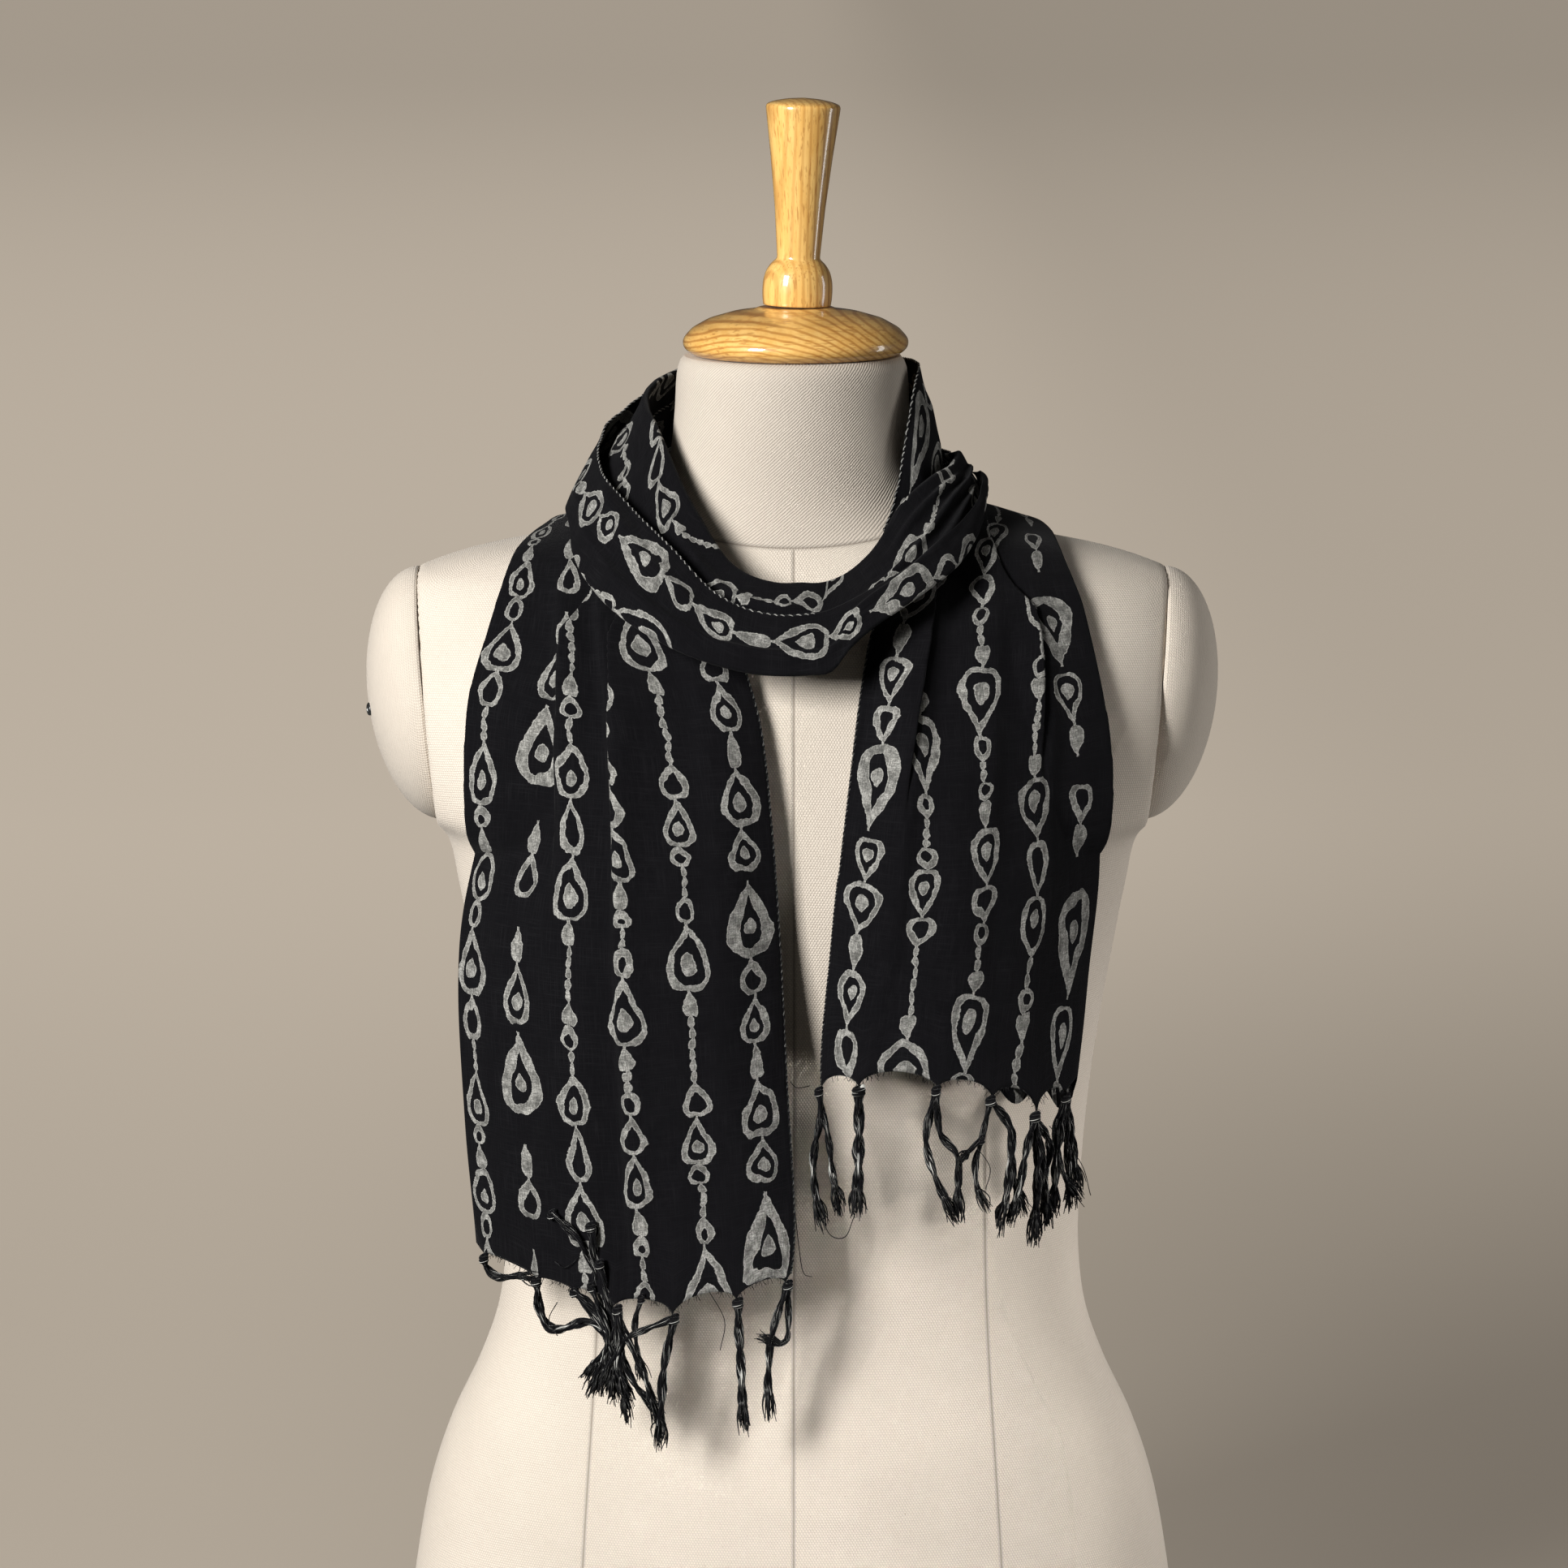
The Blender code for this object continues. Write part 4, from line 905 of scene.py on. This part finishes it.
def loop_section(row):
    """One section of the cowl in (r, z): four layers from selvedge to selvedge."""
    angle, sag, third, fourth = row[0], *row[7:]
    edge, low, top = row[1:7].reshape(3, 2)
    run = unit(top - low)
    outward = np.array((run[1], -run[0]))
    share = np.linspace(0, 1, 44)[:, None]
    second = low + (top - low) * share + outward * (sag * 4 * share * (1 - share) + crease_lift(angle, share))
    lift, along = max(0.0, float(np.dot(edge - low, outward))), float(np.dot(edge - low, run))
    t = np.linspace(1, 0, 34)[:, None]
    raised = crease_lift(angle, t * along / float(np.linalg.norm(top - low)))
    first = low + run * along * t + outward * (LAYER_STEP + lift * t + 6.0 * t * (1 - t) + raised)
    behind = part_of_path(offset_path(second, LAYER_STEP), 1.0, 1.0 - third, 18)
    last = part_of_path(offset_path(second, 2 * LAYER_STEP), 1.0 - third, 1.0 - fourth, 14)
    return np.concatenate((first, fold(first[-1], second[0], -run), second, fold(second[-1], behind[0], run),
                           behind, fold(behind[-1], last[0], -run), last))


def band_section(row):
    """A section of a band: outer layer, bottom fold, inner layer."""
    angle, outside, inside = row[0], *row[7:]
    top, mid, low = row[1:7].reshape(3, 2)
    share = np.linspace(0, 1, 30)
    whole = three_point(top, mid, low, share[:, None])
    lift = sum(rise * np.exp(-(((share - at - sway * math.sin(rate * math.radians(angle) + begin)) / half) ** 2))
               for rise, at, sway, rate, begin, half in BAND_CREASES)
    fade = float(ramp(angle, -131, -150) * ramp(angle, -240, -220))
    whole += (offset_path(whole, 1.0) - whole) * (fade * lift)[:, None]
    outer = part_of_path(whole, 1.0 - outside, 1.0, 28)
    inner = part_of_path(offset_path(whole, -LAYER_STEP), 1.0, 1.0 - inside, 16)
    return np.concatenate((outer, fold(outer[-1], inner[0], unit(low - mid)), inner))


def wrap_grid(table, rows, section, start):
    """A stretch that runs round the neck, from sections at even angles."""
    grid, across = [], []
    for row in smooth_columns(table, np.linspace(table[0][0], table[-1][0], rows)):
        path = section(row)
        grid.append([polar(row[0], r, z) for r, z in path])
        across.append(run_length(path))
    grid = np.array(grid)
    soft = ripple(grid, (24.0, 24.0, 15.0), 5.0) + 0.5 * ripple(grid, (10.0, 10.0, 9.0), 8.0)
    grid += 0.9 * soft[..., None] * (unit(grid * (1.0, 1.0, 0.0)) + (0.0, 0.0, 0.5))
    along = start + run_length(grid[:, grid.shape[1] // 3])
    return grid, np.array(across), np.tile(along[:, None], (1, grid.shape[1]))


def build_selvedge(name, edges, light, size):
    """An overlocked edge: a pale and a dark thread wound round the cloth's edge."""
    pieces = []
    for tone, finish, turned in (("_pale", light, 0.0), ("_dark", dark_thread, math.pi)):
        threads = Threads()
        for edge in edges:
            path = spline(edge, 0.7)
            run = run_length(path)
            turn = TURN * run / SELVEDGE_PITCH + turned + 1.3 * np.sin(run / 7.3) + 0.9 * np.sin(run / 2.9)
            offset = swing(turn[:, None], *across_path(path, (0.25, 0.9, 0.35)))
            threads.tube(path + (size + 0.08) * offset, size, 5)
        pieces.append(hand_over(threads.make(name + tone, finish), "cotton"))
    return pieces


def tassel_path(spots, knots, hem_y, over):
    """The path of a tassel strand from the nearest knot of the hem down through its points."""
    spots = np.array(spots, dtype=float).reshape(-1, 2)
    root_z = spots[0, 1]
    near = min(knots, key=lambda knot: abs(knot[0] - spots[0, 0]))
    if abs(near[0] - spots[0, 0]) < NEAR_KNOT_X and abs(near[1] - root_z) < NEAR_KNOT_Z:
        spots[0] = near[0], near[1] - 0.5
    points = []
    for x, z in spots:
        inward = SWAY_IN * ((root_z - z) / SWAY_OVER) if z < root_z else 0.0
        lifted = over if z > OVER_FROM else 0.0
        points.append((x, hem_y(x) - 1.0 + inward + lifted + rng.uniform(-0.8, 0.8), z))
    path = spline(points, 1.1)
    wobble = np.cumsum(rng.normal(0, 0.05, (len(path), 3)), axis=0)
    return path + wobble - wobble[0]


def build_tassels(name, strands, knots, loose, hem, over, node):
    """Twisted strands with knots at their roots and frayed ends."""
    threads = Threads()
    ordered = hem[np.argsort(hem[:, 0])]

    def hem_y(x):
        return np.interp(x, ordered[:, 0], ordered[:, 1])

    for radius, *spots in strands:
        path = tassel_path(spots, knots, hem_y, over)
        length, knot = run_length(path)[-1], path[0]
        body = path[: max(6, int(len(path) * SPUN_TO))]
        threads.plies(body, radius, rng.uniform(26.0, 40.0))
        turn = np.linspace(0, TURN * 2.4, 40)
        coil = np.stack((knot[0] + radius * 1.1 * np.cos(turn), knot[1] + radius * 1.1 * np.sin(turn),
                         knot[2] + 0.9 - 3.4 * turn / turn[-1] + 0.5 * np.sin(turn + radius)), axis=1)
        threads.tube(coil, radius * 0.72, 7)
        tip, way = body[-1], unit(body[-1] - body[-4])
        for _hair in range(int(HAIRS + radius * HAIRS_WIDER)):
            out = rng.normal(0, 1, 3)
            out = unit(out - way * np.dot(out, way))
            reach = (0.18 * length if length < 60 else 11.5) * rng.uniform(0.5, 1.25)
            start = tip - way * 3.0 + out * radius * 0.75
            end = tip + way * reach + out * radius * rng.uniform(0.2, 2.6) + rng.normal(0, 0.7, 3)
            middle = (start + end) / 2 + out * rng.uniform(-0.9, 1.5) + rng.normal(0, 0.5, 3)
            hair = spline((start, middle, end), 1.6)
            threads.tube(hair, np.linspace(rng.uniform(0.38, 0.62), 0.18, len(hair)), 4)
    for _end in range(FUZZ):
        start = hem[rng.integers(2, len(hem) - 2)] + (0.0, rng.uniform(-0.3, 0.3), 0.6)
        end = start + (rng.normal(0, 1.1), rng.uniform(-0.8, 0.8), -rng.uniform(1.2, 3.6))
        bend = (start + end) / 2 + rng.normal(0, 0.3, 3)
        threads.tube(spline((start, bend, end), 1.2), 0.13, 3)
    for spots in loose:
        hair = spline([(x, hem_y(x) - 1.5, z) for x, z in np.reshape(spots, (-1, 2))], 1.5)
        threads.tube(hair, 0.22, 4)
    return hand_over(threads.make(name, tassel_thread), "cotton", node)


# ---- build ----
cotton = cotton_material()
canvas = canvas_material("form_canvas")
cap_canvas = canvas_material("cap_canvas", seams=False)
pale_thread = thread_material("pale_thread", (0.02, 0.02, 0.02, 1), (0.36, 0.36, 0.34, 1), 0.55, 90.0)
dim_thread = thread_material("dim_thread", (0.02, 0.02, 0.02, 1), (0.16, 0.16, 0.15, 1), 0.5, 90.0)
dark_thread = thread_material("dark_thread", (0.006, 0.006, 0.007, 1), (0.05, 0.05, 0.05, 1), 0.35, 90.0)
# The tassel thread's light strands are partly pale yarn and partly painted highlights on the black fibres
tassel_thread = thread_material("tassel_thread", (0.0022, 0.0022, 0.003, 1), (0.80, 0.80, 0.75, 1), 0.37, 12.0)

torso = build_torso(250, 220, canvas)
build_caps(26, 72, cap_canvas)
disc_wood = wood_material("disc_wood", (1.0, 0.35, 1.0), (0.09, 0.3, 1.0), "Y", 125.0, (0.020, 0.0, -0.598), 5.0)
build_turned("cap_plate", PLATE_PROFILE, NECK_TOP, 1.6, 0.0, disc_wood, "neck_plate")
grip_wood = wood_material("grip_wood", (1.0, 1.0, 0.06), (1.0, 1.0, 0.09), "Z", 88.0, (0.045, 0.03, 0.0), 3.2)
build_turned("cap_grip", HANDLE_PROFILE, NECK_TOP + HANDLE_FOOT, 2.2, HANDLE_LEAN, grip_wood, "cap_handle")

build_rivet(RIVET)
skin = BVHTree.FromPolygons([v.co for v in torso.data.vertices], [tuple(p.vertices) for p in torso.data.polygons])

left, left_u, left_v = tail_grid(TAIL_LEFT, RIDGES_LEFT, FOLDS_LEFT, KNOTS_LEFT, LOBES_LEFT, -1, LEFT_CUT,
                                 190, LEFT_COLUMNS, 60)
right, right_u, right_v = tail_grid(TAIL_RIGHT, RIDGES_RIGHT, FOLDS_RIGHT, KNOTS_RIGHT, LOBES_RIGHT, 1, RIGHT_CUT,
                                    160, RIGHT_COLUMNS, 56)
loop, loop_u, loop_v = wrap_grid(LOOP, 190, loop_section, COWL_FROM)
low_band, low_u, low_v = wrap_grid(BAND_LOWER, 110, band_section, LOW_BAND_FROM)
high_band, high_u, high_v = wrap_grid(BAND_UPPER, 150, band_section, HIGH_BAND_FROM)
low_band, high_band = (push_off(band, BODY_CLEAR) for band in (low_band, high_band))

tail_left = cloth_piece("cloth_tail_left", left, left_u, left_v, cotton, "tail_left")
tail_right = cloth_piece("cloth_tail_right", right, right_u, CLOTH_LENGTH - right_v, cotton, "tail_right")
cowl = cloth_piece("cloth_cowl", loop, loop_u, loop_v, cotton, "loop_front")
band_low = cloth_piece("cloth_band_lower", low_band, low_u, low_v, cotton, "neck_band_lower")
band_high = cloth_piece("cloth_band_upper", high_band, high_u, high_v, cotton, "neck_band_upper")

edge_left = build_selvedge("selvedge_left", [left[:, 0]], dim_thread, 0.27)
edge_right = build_selvedge("selvedge_right", [right[:, 0]], dim_thread, 0.27)
shown = loop[:, 0][np.degrees(np.arctan2(loop[:, 0, 0], -loop[:, 0, 1])) < SELVEDGE_TO]
edge_cowl = build_selvedge("selvedge_cowl", [shown, loop[:, -1]], pale_thread, 0.29)
edge_band = build_selvedge("selvedge_band", [low_band[:, 0], high_band[:, 0]], pale_thread, 0.26)

fringe_left = build_tassels("tassels_left", STRANDS_LEFT, KNOTS_LEFT, LOOSE_LEFT, left[0, :LEFT_COLUMNS],
                            -3.0, "fringe_left")
fringe_right = build_tassels("tassels_right", STRANDS_RIGHT, KNOTS_RIGHT, LOOSE_RIGHT, right[0, :RIGHT_COLUMNS],
                             0.0, "fringe_right")


# ---- stage, light and camera ----
def build_floor():
    """A wide floor in pale taupe that glows with painted light, dimmer near the form, towards +x and far off."""
    bpy.ops.mesh.primitive_circle_add(vertices=96, radius=60.0, fill_type="NGON", location=(0, 0, -0.001))
    floor = bpy.context.object
    floor.name = "floor"
    made, net, shader = new_material("floor_taupe_painted_light", 0.95, Base_Color=(0.10, 0.088, 0.072, 1),
                                     Specular_IOR_Level=0.0, Emission_Strength=1.0)
    x, y, _z = net.parts(net.node("TexCoord", out="Object"))
    # Painted light: the floor's glow, dimmed near the form, most on its +x side
    near = y.ramp(2.6, 0.2) * (x.ramp(-0.45, 0.45, 0.13, 0.50) * y.ramp(-0.6, 0.2) + 0.12)
    # Painted shade: the glow fades further towards +x and far off
    shade = (1.0 - near) * x.ramp(0.0, 0.7, 1.0, 0.84) * y.ramp(4.5, 18.0, 1.0, 0.76)
    # The glow itself is painted light in the taupe colour, not a lamp
    net.feed(shader.inputs["Emission Color"], net.mix(shade, (0.0, 0.0, 0.0, 1), (0.48, 0.415, 0.34, 1)))
    floor.visible_diffuse = floor.visible_glossy = False
    floor.data.materials.append(made)


def link_object(name, data, place, turned):
    """A new object at a place, in the scene."""
    made = bpy.data.objects.new(name, data)
    made.location, made.rotation_euler = place, turned
    bpy.context.scene.collection.objects.link(made)
    return made


def add_light(name, place, target, size, power, colour, spread=180.0, mirrored=True):
    """A rectangular soft light that faces a point, with a grid over it where its spread is narrow."""
    data = bpy.data.lights.new(name, "AREA")
    data.shape, data.energy, data.color, data.spread = "RECTANGLE", power, colour, math.radians(spread)
    data.size, data.size_y = size
    lamp = link_object(name, data, place, (Vector(target) - Vector(place)).to_track_quat("-Z", "Y").to_euler())
    lamp.visible_camera, lamp.visible_glossy = False, mirrored


build_floor()
add_light("key", (-1.85, -2.10, 1.55), (0, 0, 0.42), (0.8, 1.3), 150.0, (1.0, 0.985, 0.965))
add_light("fill", (2.6, -1.25, 0.18), (0, 0, 0.19), (0.9, 0.4), 0.85, (1.0, 0.97, 0.95), spread=14.0)
add_light("rear", (-0.2, 2.7, 0.5), (0, 0, 0.44), (1.2, 0.9), 3.0, (1.0, 0.985, 0.965), spread=44.0, mirrored=False)
add_light("strip", (1.45, 0.18, 0.62), (0, 0, 0.66), (0.22, 1.05), 5.0, (1.0, 0.99, 0.98))

world = bpy.data.worlds.new("studio")
world.use_nodes = True
world.node_tree.nodes["Background"].inputs["Color"].default_value = (0.90, 0.86, 0.80, 1)
world.node_tree.nodes["Background"].inputs["Strength"].default_value = 0.06
bpy.context.scene.world = world
bpy.context.scene.view_settings.view_transform = "Standard"

VIEW_CENTRE = (-0.00385, 0.0, 0.460)
VIEW_DISTANCE = 2.6
VIEW_ELEVATION = math.radians(10.0)
lens = bpy.data.cameras.new("camera")
lens.sensor_width, lens.lens, lens.clip_end = 36.0, 125.8, 200.0
place = (VIEW_CENTRE[0], -VIEW_DISTANCE * math.cos(VIEW_ELEVATION),
         VIEW_CENTRE[2] + VIEW_DISTANCE * math.sin(VIEW_ELEVATION))
bpy.context.scene.camera = link_object("camera", lens, place, (math.pi / 2 - VIEW_ELEVATION, 0.0, 0.0))
